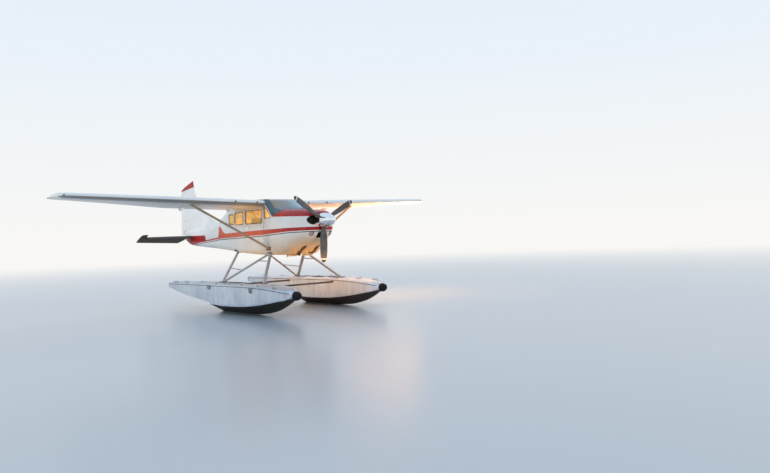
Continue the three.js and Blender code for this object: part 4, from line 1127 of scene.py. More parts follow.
# Tailplane and elevator
# The stabilizer's two halves are riveted skins. The elevator's halves are beaded and hang from one torque
# tube through the tail cone, with horn balances outboard. At rest the elevator has dropped to its stop.
ELEVATOR_HINGE = Vector((-3.470, 0, 1.965))
TAILPLANE = np.array([(0.020, -2.960, -3.470, -3.950, 0.040), (1.480, -3.120, -3.470, -3.815, 0.026)])
STABILIZER_END = 1.472
ELEVATOR_DROOP = 23
ELEVATOR_ARMS = (0.500, 1.200)
ELEVATOR_INNER = 0.155
ELEVATOR_OUTER = 1.480
HORN = [(1.479, 0.235, -0.344, 0.026), (1.610, 0.225, -0.325, 0.022), (1.650, 0.185, -0.280, 0.010)]
RUDDER_WELL = [(-0.120, -0.060), (-0.120, -0.130), (-0.700, -0.330), (-0.700, -0.060)]


def tailplane_at(y):
    return [float(np.interp(y, TAILPLANE[:, 0], TAILPLANE[:, k])) for k in range(1, 5)]


rings = []
for y in np.linspace(0.02, STABILIZER_END, 20):
    lead, hinge, back, half = tailplane_at(y)
    run = lead - hinge - HINGE_GAP
    side = [(lead - t * run, -y, fin_half(half, t)) for t in FIN_STEPS]
    rings.append([(x, y, ELEVATOR_HINGE.z + h) for x, y, h in side]
                 + [(x, y, ELEVATOR_HINGE.z - h) for x, y, h in side[::-1]])
stabilizer = loft("stabilizer_skin", rings)
carve(stabilizer, body_loft("body_cutter", -3.765, -2.5, GAP))
# The stabilizer carries the dark brown-grey of painted shade.
dress_pair(stabilizer, tailplane_shade_paint, "white", "stabilizer")

rings = []
for y, bead in beaded_stations(ELEVATOR_INNER, ELEVATOR_OUTER):
    lead, hinge, back, half = tailplane_at(y)
    side = [(run, -y, h) for run, h in tail_section(half, back - hinge, bead)]
    rings.append(side + [(x, y, -h) for x, y, h in side[:0:-1]])
elevator = loft("elevator_skin", rings)
horn_rings = []
for y, reach, back, half in HORN:
    side = [
        (reach, -y, 0.002), (reach - 0.012, -y, 0.35 * half), (reach - 0.060, -y, 0.7 * half), (0, -y, half)
    ]
    side.append((back, -y, TRAILING_HALF))
    horn_rings.append(side + [(x, y, -h) for x, y, h in side[::-1]])
horn = loft("horn", horn_rings)
well = loft("well", [[(x, y, z) for x, y in RUDDER_WELL] for z in (-0.2, 0.2)])
notches, pins, arms = hinges([((0, -y, 0), (0, 1, 0), TAIL_ARM) for y in ELEVATOR_ARMS])
for arm in arms:
    arm.data.transform(Matrix.Translation(ELEVATOR_HINGE))
carve(elevator, well, *notches)
droop = Matrix.Translation(ELEVATOR_HINGE) @ Matrix.Rotation(math.radians(-ELEVATOR_DROOP), 4, "Y")
elevator = join("elevator_skin", [elevator, horn])
halves = [elevator, mirrored(elevator, "other_half")]
elevator = join("elevator_skin", halves)
elevator.data.transform(droop)
# The elevator carries the dark brown-grey of painted shade.
dress(elevator, tailplane_shade_paint, "white", "elevator", body="elevator")
pins = join("pins", pins)
tube = rod("torque_tube", (0, -0.2, 0), (0, 0.2, 0), 0.020, 24)
fittings = join("elevator_fittings", [pins, mirrored(pins, "other_pins"), tube])
fittings.data.transform(droop)
dress(fittings, chrome, "alloy", body="elevator")
dress_pair(join("stabilizer_hinge_arms", arms), white_paint, "white")

# Floats
# Each float is a watertight hull of riveted aluminium with a flat keel strip, a stepped planing bottom and a
# crowned deck, and it carries the two ears of its water rudder on the stern.
FLOAT_Y = 1.300
FLOAT_BACK = np.array([
    (-1.950, 0.180, 0.668, 0.545, 0.450), (-1.100, 0.300, 0.690, 0.440, 0.335),
    (-0.200, 0.385, 0.703, 0.345, 0.215), (0.748, 0.416, 0.708, 0.262, 0.112),
])
FLOAT_FRONT = np.array([
    (0.752, 0.420, 0.708, 0.205, 0.000), (1.400, 0.420, 0.708, 0.205, 0.000),
    (2.200, 0.418, 0.708, 0.222, 0.000),
    (2.700, 0.402, 0.700, 0.255, 0.028), (3.200, 0.355, 0.672, 0.315, 0.118),
    (3.600, 0.265, 0.625, 0.385, 0.262),
    (3.820, 0.165, 0.590, 0.430, 0.385), (3.905, 0.095, 0.572, 0.490, 0.462),
])
STEP_X = 0.750
KEEL_HALF = 0.022
DECK_CROWN = 0.026
DECK_EDGE = 0.055


def float_ring(x, grow=0.0):
    """The starboard float's section at a station."""
    half, deck, chine, keel = smooth(FLOAT_FRONT if x > STEP_X else FLOAT_BACK, x)
    low, high, wide = keel - grow, deck + grow, half + grow
    side = [(KEEL_HALF, low)]
    for s in (0.15, 0.3, 0.5, 0.7, 0.88):
        y = KEEL_HALF + s * (wide - KEEL_HALF)
        side.append((y, low + (chine - grow - low) * s * (1 + 0.10 * math.sin(math.pi * s))))
    side += [(wide, chine - grow), (wide, chine - grow + 0.3 * (high - chine - DECK_EDGE))]
    for angle in np.radians(np.linspace(0, 90, 7)):
        side.append((wide - DECK_EDGE * (1 - math.cos(angle)), high - DECK_EDGE * (1 - math.sin(angle))))
    flat = wide - DECK_EDGE
    side += [(flat * s, high + DECK_CROWN * (1 - s * s)) for s in (0.8, 0.6, 0.4, 0.2)]
    ring = [*side, (0, high + DECK_CROWN), *[(-y, z) for y, z in side[::-1]]]
    return [(x, y - FLOAT_Y, z) for y, z in ring]


def float_loft(name, grow=0.0):
    xs = [*np.linspace(-1.950, 0.748, 30), *np.linspace(0.752, 3.905, 46)]
    return loft(name, [float_ring(x, grow) for x in xs])


def metal(name, light, dark, rough, scale=3.0, bump=0.0015):
    return finish(name, light, dark, scale, rough, metal=0.85, bump=bump, bump_scale=7)


# The float alloy is grey with a blue tint that is painted sky reflection.
float_alloy = metal("float_alloy", (0.58, 0.65, 0.73), (0.42, 0.48, 0.55), (0.36, 0.52))
gear_alloy = metal("gear_alloy", (0.50, 0.50, 0.51), (0.38, 0.38, 0.39), (0.32, 0.46))


CHINE_LINE = {"level_to_x": 1.4, "z": 0.2, "rise": 0.0318, "power": 2.2}
BOTTOM_SHADE = (0.022, 0.019, 0.017)


def hull_paint():
    """Bare mottled alloy with vertical run marks, and painted shade, near black, on the planing bottom ahead
    of the step.
    """
    made, tree, shader, place = shader_start("float_skin")
    x, y, z = xyz(tree, place)
    stretched = tree.nodes.new("ShaderNodeMapping")
    stretched.inputs["Scale"].default_value = (9, 9, 1.2)
    tree.links.new(place, stretched.inputs["Vector"])
    share = spread(tree, noise(tree, stretched.outputs[0], 1.0), 0, 0.6)
    share = calc(tree, "ADD", share, spread(tree, noise(tree, place, 2.2), 0, 0.5))
    # Grey alloy with a blue tint that is painted sky reflection.
    alloy = blended(tree, share, (0.74, 0.80, 0.86), (0.50, 0.56, 0.63))
    run = calc(tree, "MAXIMUM", calc(tree, "SUBTRACT", x, CHINE_LINE["level_to_x"]), 0.0)
    run = calc(tree, "POWER", run, CHINE_LINE["power"])
    chine = calc(tree, "MULTIPLY_ADD", run, CHINE_LINE["rise"], CHINE_LINE["z"])
    # Painted shade: the planing bottom ahead of the step is near black.
    bottom = times(tree, calc(tree, "LESS_THAN", z, chine), calc(tree, "GREATER_THAN", x, STEP_X + 0.001))
    tree.links.new(blended(tree, bottom, alloy, BOTTOM_SHADE), shader.inputs["Base Color"])
    tree.links.new(calc(tree, "MULTIPLY_ADD", bottom, -0.6, 0.65), shader.inputs["Metallic"])
    tree.links.new(spread(tree, noise(tree, place, 9), 0.36, 0.52), shader.inputs["Roughness"])
    raise_by(tree, shader, noise(tree, place, 7), 0.0015)
    return made


hull = float_loft("float_hull")
post_x = -1.980
ears = []
for z in (0.508, 0.640):
    ears.append(block((post_x - 0.016, -FLOAT_Y - 0.018, z), (-1.940, -FLOAT_Y + 0.018, z + 0.012)))
dress_pair(join("float_hull", [hull, *ears]), hull_paint(), "alloy", "float")

# Bow bumpers
# A moulded black rubber nose is bolted over the bow of each float. It is one soft block, thick at the root
# and round at the tip.
BUMPER = np.array([
    (3.9053, 0.100, 0.392, 0.600), (3.975, 0.098, 0.394, 0.598), (4.025, 0.080, 0.416, 0.582),
    (4.050, 0.056, 0.442, 0.556), (4.060, 0.020, 0.480, 0.518),
])


def oval(across, up, half_width, half_height, sides=40):
    """Points round an oval, from its middle and its two half sizes."""
    return [
        (across + half_width * math.cos(a), up + half_height * math.sin(a)) for a in round_angles(sides)
    ]


rings = []
for x in [3.9053, 3.93, 3.955, 3.975, 4.0, 4.015, 4.03, 4.042, 4.050, 4.056, 4.060]:
    half, low, high = smooth(BUMPER, x)
    rings.append([(x, *point) for point in oval(-FLOAT_Y, (low + high) / 2, half, (high - low) / 2, 32)])
bumper_rubber = finish(
    "bumper_rubber", (0.016, 0.015, 0.015), (0.009, 0.009, 0.009), 8, (0.6, 0.8),
    bump=0.001, Specular_IOR_Level=0.2,
)
dress_pair(loft("bumper", rings), bumper_rubber, "rubber", "bow_bumper")

# Float gear
# Streamlined alloy tubes: on each side a front leg, a rear leg and a diagonal between them, with two bars
# from float to float and rungs to climb by.
FRONT_FOOT = Vector((2.465, -1.193, 0.718))
REAR_FOOT = Vector((0.522, -1.193, 0.716))
FRONT_TOP = Vector((1.792, -0.528, 1.443))
REAR_TOP = Vector((0.035, -0.400, 1.500))
BAR_Z = 0.630


def strut(name, start, end, chord, thickness, swell=0.0, stations=2):
    """A streamlined tube, rounder ahead than behind, that may swell into cuffs at its ends."""
    start, end = Vector(start), Vector(end)
    run = (end - start).normalized()
    fore = (Vector((1, 0, 0)) - run * run.x).normalized()
    across = run.cross(fore)
    rings = []
    for s in np.linspace(0, 1, stations):
        nearest = min(s, 1 - s) * (end - start).length
        scale = 1 + swell * max(0, 1 - nearest / 0.16) ** 2
        ring = []
        for a in round_angles(28):
            side = math.sin(a) * (1 + 0.35 * math.cos(a)) / 1.054
            offset = fore * chord / 2 * scale * math.cos(a) + across * thickness / 2 * scale * side
            ring.append(start.lerp(end, s) + offset)
        rings.append(ring)
    return loft(name, rings)


# Chord, thickness, swell at the ends and number of rings. A cut is a hair larger than what it makes room for.
LEG = (0.105, 0.048, 0.10, 30)
LEG_CUT = (0.1056, 0.0486, 0.10, 30)
DIAGONAL = (0.085, 0.042, 0.0, 24)
DIAGONAL_CUT = (0.0856, 0.0426, 0.0, 24)


def leg(foot, top, size, name="leg_cutter"):
    """A leg of the gear, longer than it shows, so that the float and the body can trim it."""
    return strut(name, foot.lerp(top, -0.02), foot.lerp(top, 1.05), *size)


front_leg = leg(FRONT_FOOT, FRONT_TOP, LEG, "front_leg")
carve(front_leg, float_loft("float_cutter", GAP), body_loft("body_cutter", 1.2, 2.262, GAP))
rear_leg = leg(REAR_FOOT, REAR_TOP, LEG, "rear_leg")
carve(rear_leg, float_loft("float_cutter", GAP), body_loft("body_cutter", -0.5, 0.6, GAP))
diagonal = strut("diagonal_leg", REAR_FOOT, FRONT_TOP, *DIAGONAL)
carve(
    diagonal,
    float_loft("float_cutter", GAP),
    leg(FRONT_FOOT, FRONT_TOP, LEG_CUT),
    leg(REAR_FOOT, REAR_TOP, LEG_CUT),
    body_loft("body_cutter", 1.2, 2.262, GAP),
)
steps = []
for foot, other_foot, top, low, high in (
    (REAR_FOOT, REAR_TOP, FRONT_TOP, 0.45, 0.42),
    (FRONT_FOOT, FRONT_TOP, FRONT_TOP, 0.72, 0.74),
):
    start, end = foot.lerp(other_foot, low), REAR_FOOT.lerp(top, high)
    steps.append(rod("rung", start, end, 0.014, 16))
    carve(
        steps[-1],
        leg(foot, other_foot, LEG_CUT),
        strut("diagonal_cutter", REAR_FOOT, FRONT_TOP, *DIAGONAL_CUT),
    )
dress_pair(front_leg, gear_alloy, "alloy", "front_float_strut")
dress_pair(rear_leg, gear_alloy, "alloy", "rear_float_strut")
dress_pair(diagonal, gear_alloy, "alloy", "diagonal_float_strut")
dress_pair(join("float_rungs", steps), gear_alloy, "alloy", "rear_step", "front_step")
bar_finish = metal("stained_bar", (0.17, 0.14, 0.12), (0.10, 0.085, 0.075), (0.45, 0.6))
for word, x in (("front", FRONT_FOOT.x), ("rear", REAR_FOOT.x)):
    bar = strut(f"{word}_bar", (x, -FLOAT_Y, BAR_Z), (x, FLOAT_Y, BAR_Z), 0.090, 0.045)
    near = float_loft("float_cutter", GAP)
    carve(bar, mirrored(near, "far_cutter"), near)
    dress(bar, bar_finish, "alloy", f"{word}_spreader_bar")

# Wing struts
# One streamlined strut a side, from the foot of the door post to the front spar, with a pressed cuff over the
# fitting at each end.
STRUT_FOOT = Vector((1.770, -0.530, 1.540))
STRUT_HEAD = Vector((1.395, -2.585, 2.735))
wing_strut = strut("wing_strut_tube", STRUT_FOOT, STRUT_HEAD, 0.120, 0.052, 0.12, 60)
wing_cutter = []
for y in [0.44, *np.arange(0.7, 5.2, 0.3)]:
    upper, lower = wing_ring(y, out=GAP)
    wing_cutter.append(upper + lower)
carve(wing_strut, body_loft("body_cutter", 1.2, 2.262, GAP), loft("wing_cutter", wing_cutter))
# The struts carry the tan of painted shade and warm reflected light.
dress_pair(wing_strut, strut_shade_paint, "white", "wing_strut")

# Cowling
# Sheet aluminium over the engine, screwed to the firewall. It has two oval cooling inlets with rolled lips,
# a low air intake behind a screen, a pair of round lights in its chin, and cowl flaps under its back edge.
COWL_SKIN = 0.018
NOSE_X = 3.262
THRUST_Z = 2.200
INTAKE = {"half_width": 0.128, "low": 1.785, "high": 1.915}
CHIN_LIGHT = {"y": 0.280, "z": 1.890, "radius": 0.050}
SHAFT_HOLE = 0.070
PIPE_TOP = Vector((2.900, -0.155, 1.990))
PIPE_LOW = Vector((2.590, -0.232, 1.370))
PIPE_RADIUS = 0.038
PIPE_HOLE = 0.052


def front_prism(outline, from_x, to_x):
    """A cutter: an outline of y and z carried from one x to another."""
    return loft("front_prism", [[(x, y, z) for y, z in outline] for x in (from_x, to_x)])


def nose_at(y, z, grow=0.0):
    """The point of the cowling's front that is straight ahead of a point inside it."""
    behind, ahead_of = 2.30, NOSE_X
    for _ in range(24):
        x = (behind + ahead_of) / 2
        half, bottom, top, low, high = smooth(BODY, x)
        inside = bottom < z < top and abs(y) < skin_y(x, z, grow)
        behind, ahead_of = (x, ahead_of) if inside else (behind, x)
    return Vector((behind, y, z))


def tube_along(name, points, radius, sides=10, closed=True):
    """A round tube that follows a row of points."""
    points = [Vector(p) for p in points]
    count = len(points)
    rings = []
    normal = None
    for i, centre in enumerate(points):
        before = points[i - 1] if closed or i else centre
        after = points[(i + 1) % count] if closed or i + 1 < count else centre
        run = (after - before).normalized()
        normal = run.orthogonal() if normal is None else normal - run * normal.dot(run)
        normal.normalize()
        other = run.cross(normal)
        angles = round_angles(sides)
        rings.append([centre + radius * (math.cos(a) * normal + math.sin(a) * other) for a in angles])
    if closed:
        twist = min(range(sides), key=lambda s: (rings[0][s] - rings[-1][0]).length)
        faces = []
        for r in range(count):
            shift = twist if r == count - 1 else 0
            for i in range(sides):
                j = (i + 1) % sides
                a, b = r * sides + i, r * sides + j
                on = (r + 1) % count * sides
                faces.append((a, b, on + (j + shift) % sides, on + (i + shift) % sides))
        return mesh_of(name, [p for ring in rings for p in ring], faces)
    return loft(name, rings)


cowling = body_loft("cowling_skin", FIREWALL_X + GAP, NOSE_X, step=0.03)
cutters = [body_loft("cowling_inside", FIREWALL_X - 0.1, NOSE_X - COWL_SKIN, -COWL_SKIN, step=0.03)]
shaft_line = ((3.10, 0, THRUST_Z), (3.40, 0, THRUST_Z))
cutters.append(rod("shaft_hole", *shaft_line, SHAFT_HOLE, 40))
intake_corners = [(-1, "low"), (-1, "high"), (1, "high"), (1, "low")]
intake_outline = rounded(
    [(side * INTAKE["half_width"], INTAKE[level]) for side, level in intake_corners], 0.02
)
cutters.append(front_prism(intake_outline, 3.02, 3.40))
lips = []
for side in (-1, 1):
    rim = oval(side * INLET["y"], INLET["z"], INLET["half_width"], INLET["half_height"])
    cutters.append(front_prism(rim, 3.06, 3.40))
    lips.append(tube_along("lip", [nose_at(y, z) - Vector((0.004, 0, 0)) for y, z in rim], 0.009))
    light = oval(side * CHIN_LIGHT["y"], CHIN_LIGHT["z"], CHIN_LIGHT["radius"], CHIN_LIGHT["radius"], 28)
    cutters.append(front_prism(light, 3.05, 3.40))
cutters.append(rod("pipe_hole", PIPE_TOP, PIPE_LOW, PIPE_HOLE, 28))
carve(cowling, *cutters)
dress(cowling, body_paint, "white", "cowling")
dress(join("inlet_lips", lips), body_paint, "white")

# Near black: the screen's wires, and painted shade in the intake, the vents and the openings under the
# cowling.
shade_and_dark_metal = finish("dark_metal_and_painted_shade", (0.05, 0.048, 0.045), (0.022, 0.02, 0.02), 9, (0.6, 0.8), bump=0.001)
# A near-black plate behind the wires is painted shade in the intake.
screen = [front_prism(intake_outline, 3.020, 3.024)]
for y in np.arange(-0.12, 0.121, 0.016):
    screen.append(rod("wire", (3.028, y, INTAKE["low"]), (3.028, y, INTAKE["high"]), 0.0018, 6))
for z in np.arange(INTAKE["low"] + 0.008, INTAKE["high"], 0.016):
    screen.append(rod("wire", (3.030, -0.128, z), (3.030, 0.128, z), 0.0018, 6))
dress(join("intake_screen", screen), shade_and_dark_metal, "iron")
# A near-black sleeve in the intake is painted shade.
duct_shade = front_prism(grown(intake_outline, 0.010), 3.0195, 3.30)
carve(duct_shade, front_prism(intake_outline, 2.9, 3.4))
carve(duct_shade, body_loft("inside", 2.8, NOSE_X - COWL_SKIN - GAP, -COWL_SKIN - GAP), operation="INTERSECT")
dress(duct_shade, shade_and_dark_metal, "iron")

lamp_glass = finish("lamp_glass", (0.88, 0.90, 0.92), (0.80, 0.83, 0.86), 8, (0.02, 0.08),
                    Transmission_Weight=0.9, IOR=1.3, Alpha=0.4)
lens_rings = []
bowl_rings = []
rim_tubes = []
for side in (-1, 1):
    centre_y, centre_z, radius = side * CHIN_LIGHT["y"], CHIN_LIGHT["z"], CHIN_LIGHT["radius"]
    edge = [nose_at(y, z) for y, z in oval(centre_y, centre_z, radius + 0.002, radius + 0.002, 28)]
    rim_tubes.append(tube_along("rim", [p + Vector((0.001, 0, 0)) for p in edge], 0.005, 8))
    deep = min(p.x for p in edge) - 0.035
    rings = []
    for share, depth in ((0.97, 0.0), (0.90, 0.35), (0.72, 0.7), (0.42, 0.92), (0.12, 1.0)):
        rings.append([Vector((p.x + (deep - p.x) * depth, centre_y + (p.y - centre_y) * share,
                              centre_z + (p.z - centre_z) * share)) for p in edge])
    outer = [[p + Vector((-0.003, 0, 0)) for p in ring] for ring in rings[::-1]]
    bowl_rings.append(loft("bowl", rings + outer, closed=False))
    rings = []
    for share, depth in ((0.955, 0.012), (0.955, 0.010), (0.6, 0.006), (0.2, 0.004)):
        rings.append([Vector((p.x * share + (sum(q.x for q in edge) / len(edge)) * (1 - share) - depth,
                              centre_y + (p.y - centre_y) * share,
                              centre_z + (p.z - centre_z) * share)) for p in edge])
    lens_rings.append(loft("lens", rings))
dress(join("light_bowls", bowl_rings), chrome, "alloy")
dress(join("light_lenses", lens_rings), lamp_glass, "glass")
dress(join("light_rims", rim_tubes), rubber, "rubber")

# Engine and exhaust
# A flat six seen through the inlets: a cast crankcase with a row of finned cylinders to each side. Its steel
# tailpipe, browned by heat, rakes down and back through the cowling's underside.
iron = finish(
    "cast_metal", (0.16, 0.145, 0.13), (0.09, 0.08, 0.072), 14, (0.55, 0.75), metal=0.6, bump=0.002
)
burnt = finish(
    "browned_steel", (0.20, 0.115, 0.07), (0.09, 0.055, 0.04), 11, (0.5, 0.7), metal=0.8, bump=0.001
)
ENGINE = {"back": FIREWALL_X + GAP, "front": 3.060, "half": 0.240, "low": 1.960, "high": 2.330}
CYLINDER_Z = 2.150
case_rings = []
for x, shrink in ((ENGINE["back"], 0.0), (2.98, 0.0), (3.03, 0.03), (3.06, 0.07)):
    outline = rounded([
        (-ENGINE["half"] + shrink, ENGINE["low"] + shrink),
        (-ENGINE["half"] + shrink, ENGINE["high"] - shrink),
        (ENGINE["half"] - shrink, ENGINE["high"] - shrink),
        (ENGINE["half"] - shrink, ENGINE["low"] + shrink),
    ], 0.05)
    case_rings.append([(x, y, z) for y, z in outline])
dress(loft("crankcase", case_rings), iron, "iron", "engine_block")
cylinders = []
for side in (-1, 1):
    for x in (2.90, 2.70, 2.50):
        outward = [(0.240, 0.058)]
        for k in range(12):
            y = 0.250 + 0.011 * k
            outward += [(y, 0.058), (y, 0.076), (y + 0.004, 0.076), (y + 0.004, 0.058)]
        outward += [(0.388, 0.058), (0.388, 0.045), (0.400, 0.040)]
        reach = smooth(BODY, x)[0] - COWL_SKIN - 0.012
        rings = []
        for y, radius in outward:
            y = min(y, reach)
            rings.append([(a, side * y, b) for a, b in oval(x, CYLINDER_Z, radius, radius, 24)])
        cylinders.append(loft("cylinder", rings))
dress(join("cylinders", cylinders), iron, "iron")
pipe_axis = (PIPE_LOW - PIPE_TOP).normalized()
pipe = rod("tailpipe", PIPE_TOP, PIPE_LOW, PIPE_RADIUS, 32)
bore_from = PIPE_LOW - pipe_axis * 0.30
carve(
    pipe,
    rod("bore", bore_from, PIPE_LOW + pipe_axis * 0.1, PIPE_RADIUS - 0.004, 32),
    block((2.4, -0.5, ENGINE["low"] - GAP), (3.3, 0.2, 2.2)),
)
dress(pipe, burnt, "iron", "exhaust_pipe")

# Propeller
# Three twisted blades of dull grey-brown metal, with pale bands near their tips, sit in the sockets of a hub
# under a polished spinner.
PROP_X = 3.350
SPINNER = {"back": 3.288, "radius": 0.180, "tip": 3.736, "rim": 0.060}
SHAFT_RADIUS = 0.060
BLADE = np.array([
    (0.120, 0.084, 0.084, 0), (0.215, 0.088, 0.076, 24),
    (0.320, 0.142, 0.044, 34), (0.480, 0.176, 0.030, 28),
    (0.680, 0.182, 0.022, 22), (0.850, 0.166, 0.016, 18),
    (0.960, 0.128, 0.011, 15), (1.016, 0.050, 0.007, 14),
])
PARKED_ANGLE = -92.7
BLADE_BANDS = (0.925, 0.955)


def polished(name, colour):
    made, tree, shader, place = shader_start(name)
    share = spread(tree, noise(tree, place, 6), 0.92, 1.0)
    tree.links.new(blended(tree, share, (0.4, 0.4, 0.42), colour), shader.inputs["Base Color"])
    tree.links.new(spread(tree, noise(tree, place, 40), 0.05, 0.11), shader.inputs["Roughness"])
    shader.inputs["Metallic"].default_value = 1.0
    raise_by(tree, shader, noise(tree, place, 5, 1), 0.0008)
    return made


spinner_finish = polished("polished_spinner", (0.93, 0.93, 0.94))
profile = [
    (0.0, 0.140), (0.0, 0.170), (0.003, 0.178), (0.008, 0.180), (0.030, 0.180), (SPINNER["rim"], 0.180)
]
length = SPINNER["tip"] - SPINNER["back"] - SPINNER["rim"]
for angle in np.radians(np.linspace(3, 89.2, 30)):
    profile.append((SPINNER["rim"] + length * math.sin(angle), SPINNER["radius"] * math.cos(angle) ** 0.9))
spinner_rings = [
    [(SPINNER["back"] + x, *point) for point in oval(0, THRUST_Z, r, r, 72)] for x, r in profile
]
spinner = loft("spinner_shell", spinner_rings)
shaft = rod("shaft", (3.0603, 0, THRUST_Z), (SPINNER["back"] + 0.02, 0, THRUST_Z), SHAFT_RADIUS, 32)


def blade_direction(degrees):
    return Vector((0, math.cos(math.radians(degrees)), math.sin(math.radians(degrees))))


def blade_ring(out, radius, grow=0.0):
    """An aerofoil with its round edge leading, turned to the blade's pitch at that radius."""
    chord, thick, pitch = (float(np.interp(radius, BLADE[:, 0], BLADE[:, k])) for k in (1, 2, 3))
    if radius > BLADE[0, 0]:
        chord, thick, pitch = smooth(BLADE, radius)
    ahead_of = Vector((1, 0, 0))
    turning = ahead_of.cross(out)
    lead = turning * math.cos(math.radians(pitch)) + ahead_of * math.sin(math.radians(pitch))
    face = lead.cross(out)
    roundness = min(max((radius - 0.20) / 0.12, 0), 1)
    ring = []
    for a in round_angles(28):
        side = math.sin(a) * (1 + 0.3 * roundness * math.cos(a)) / (1 + 0.04 * roundness)
        offset = lead * (chord / 2 + grow) * math.cos(a) + face * (thick / 2 + grow) * side
        ring.append(Vector((PROP_X, 0, THRUST_Z)) + out * radius + offset)
    return ring


def blade_paint():
    """Dull metal blades with a pale band and a dark end, by distance from the propeller's axis."""
    made, tree, shader, place = shader_start("blade_paint")
    x, y, z = xyz(tree, place)
    up = calc(tree, "SUBTRACT", z, THRUST_Z)
    reach = calc(tree, "SQRT", calc(tree, "ADD", times(tree, y, y), times(tree, up, up)))
    dull = blended(
        tree, spread(tree, noise(tree, place, 8), 0, 1), (0.085, 0.078, 0.074), (0.14, 0.13, 0.125)
    )
    end = blended(tree, calc(tree, "GREATER_THAN", reach, BLADE_BANDS[1]), dull, (0.03, 0.028, 0.028))
    band = between(tree, reach, *BLADE_BANDS)
    tree.links.new(blended(tree, band, end, (0.72, 0.68, 0.62)), shader.inputs["Base Color"])
    shader.inputs["Metallic"].default_value = 0.35
    tree.links.new(spread(tree, noise(tree, place, 30), 0.35, 0.5), shader.inputs["Roughness"])
    raise_by(tree, shader, noise(tree, place, 60), 0.0004)
    return made


blade_finish = blade_paint()
cutters = []
blade_radii = [
    0.12, 0.15, 0.18, 0.2, 0.215, *np.arange(0.24, 0.96, 0.03), 0.97, 0.985, 0.995, 1.004, 1.011, 1.016
]
for n in range(3):
    out = blade_direction(PARKED_ANGLE + 120 * n)
    blade = loft(f"blade_{n + 1}", [blade_ring(out, radius) for radius in blade_radii])
    dress(blade, blade_finish, "blade", f"propeller_blade_{n + 1}", body="propeller")
    cutters.append(loft("blade_slot", [blade_ring(out, radius, 0.004) for radius in blade_radii[:9]]))
    start = Vector((PROP_X, 0, THRUST_Z)) + out * 0.1196
    cutters.append(rod("socket", start, start + out * 0.01, 0.048, 28))
carve(spinner, *cutters)
dress(join("spinner_shell", [spinner, shaft]), spinner_finish, "polished", "spinner", body="propeller")

# Water rudders
# Behind each float a post turns between the stern's two ears, and the blade beside it lifts about a bolt.
# The posts are turned bar and the blades are flat alloy plate with rounded edges.
POST = {"x": -1.980, "radius": 0.014, "low": 0.520, "high": 0.640}
BLADE_PIVOT = Vector((-2.040, -FLOAT_Y, 0.590))
CHEEK = 0.014
BLADE_THICK = 0.012
WATER_BLADE = [
    (0.030, -0.020), (0.000, -0.034), (-0.110, -0.036), (-0.160, -0.085), (-0.290, -0.080),
    (-0.305, 0.040), (-0.200, 0.075), (-0.040, 0.060), (0.030, 0.035),
]
post = rod(
    "post", (POST["x"], -FLOAT_Y, POST["low"] + GAP), (POST["x"], -FLOAT_Y, POST["high"] - GAP),
    POST["radius"], 24
)
arm_outline = rounded(rectangle(POST["x"], BLADE_PIVOT.x - 0.025, 0.560, 0.620), 0.010)
arm = side_prism("arm", arm_outline, -FLOAT_Y - CHEEK / 2, -FLOAT_Y + CHEEK / 2)
dress_pair(
    join("rudder_post", [post, arm]), gear_alloy, "alloy", "water_rudder_post", body="water_rudder_post"
)
blade_outline = [(BLADE_PIVOT.x + x, BLADE_PIVOT.z + z) for x, z in rounded(WATER_BLADE, 0.008, 4)]
near_y = -FLOAT_Y - CHEEK / 2 - GAP
layers = []
for y, shrink in ((near_y, 0.002), (near_y - 0.002, 0), (near_y - 0.010, 0), (near_y - BLADE_THICK, 0.002)):
    layers.append([(x, y, z) for x, z in grown(blade_outline, -shrink)])
plate = loft("rudder_plate", layers)
dress_pair(plate, float_alloy, "alloy", "water_rudder_blade", body="water_rudder_blade")

# Seats
# Two front seats and a rear bench: foam pads in stitched tan cloth with piped edges, on tube legs that stand
# on the floor rails. Each pad is drawn as a block with round edges and then swelled like a stuffed cover.
FLOOR_Z = 1.455
SWELL_LIMIT = 0.014
SWELL_FRAMES = 16
PRESSURE = 4
VOXEL = 0.012
PAD_CORNER = 0.045
# Each pad's outline, from the foot of its backrest and from the floor.
CUSHION = ((0.512, 0.155), (0.512, 0.345), (0.116, 0.318), (0.010, 0.155))
BACKREST = ((0.004, 0.190), (0.102, 0.330), (-0.014, 0.910), (-0.104, 0.910))
SEAM_IN = 0.020
# By seat: its backrest's foot, its half width and its middle.
SEATS = (
    ("front_seat_right", 0.900, 0.215, -0.245),
    ("front_seat_left", 0.900, 0.215, 0.245),
    ("rear_bench", -0.060, 0.400, 0.0),
)
seat_cloth = finish("seat_cloth", (0.52, 0.40, 0.24), (0.40, 0.30, 0.17), 9, (0.8, 0.95), bump=0.0015,
                    Sheen_Weight=0.4)
piping_cloth = finish("piping_cloth", (0.30, 0.22, 0.13), (0.22, 0.16, 0.09), 9, (0.8, 0.95), bump=0.001)


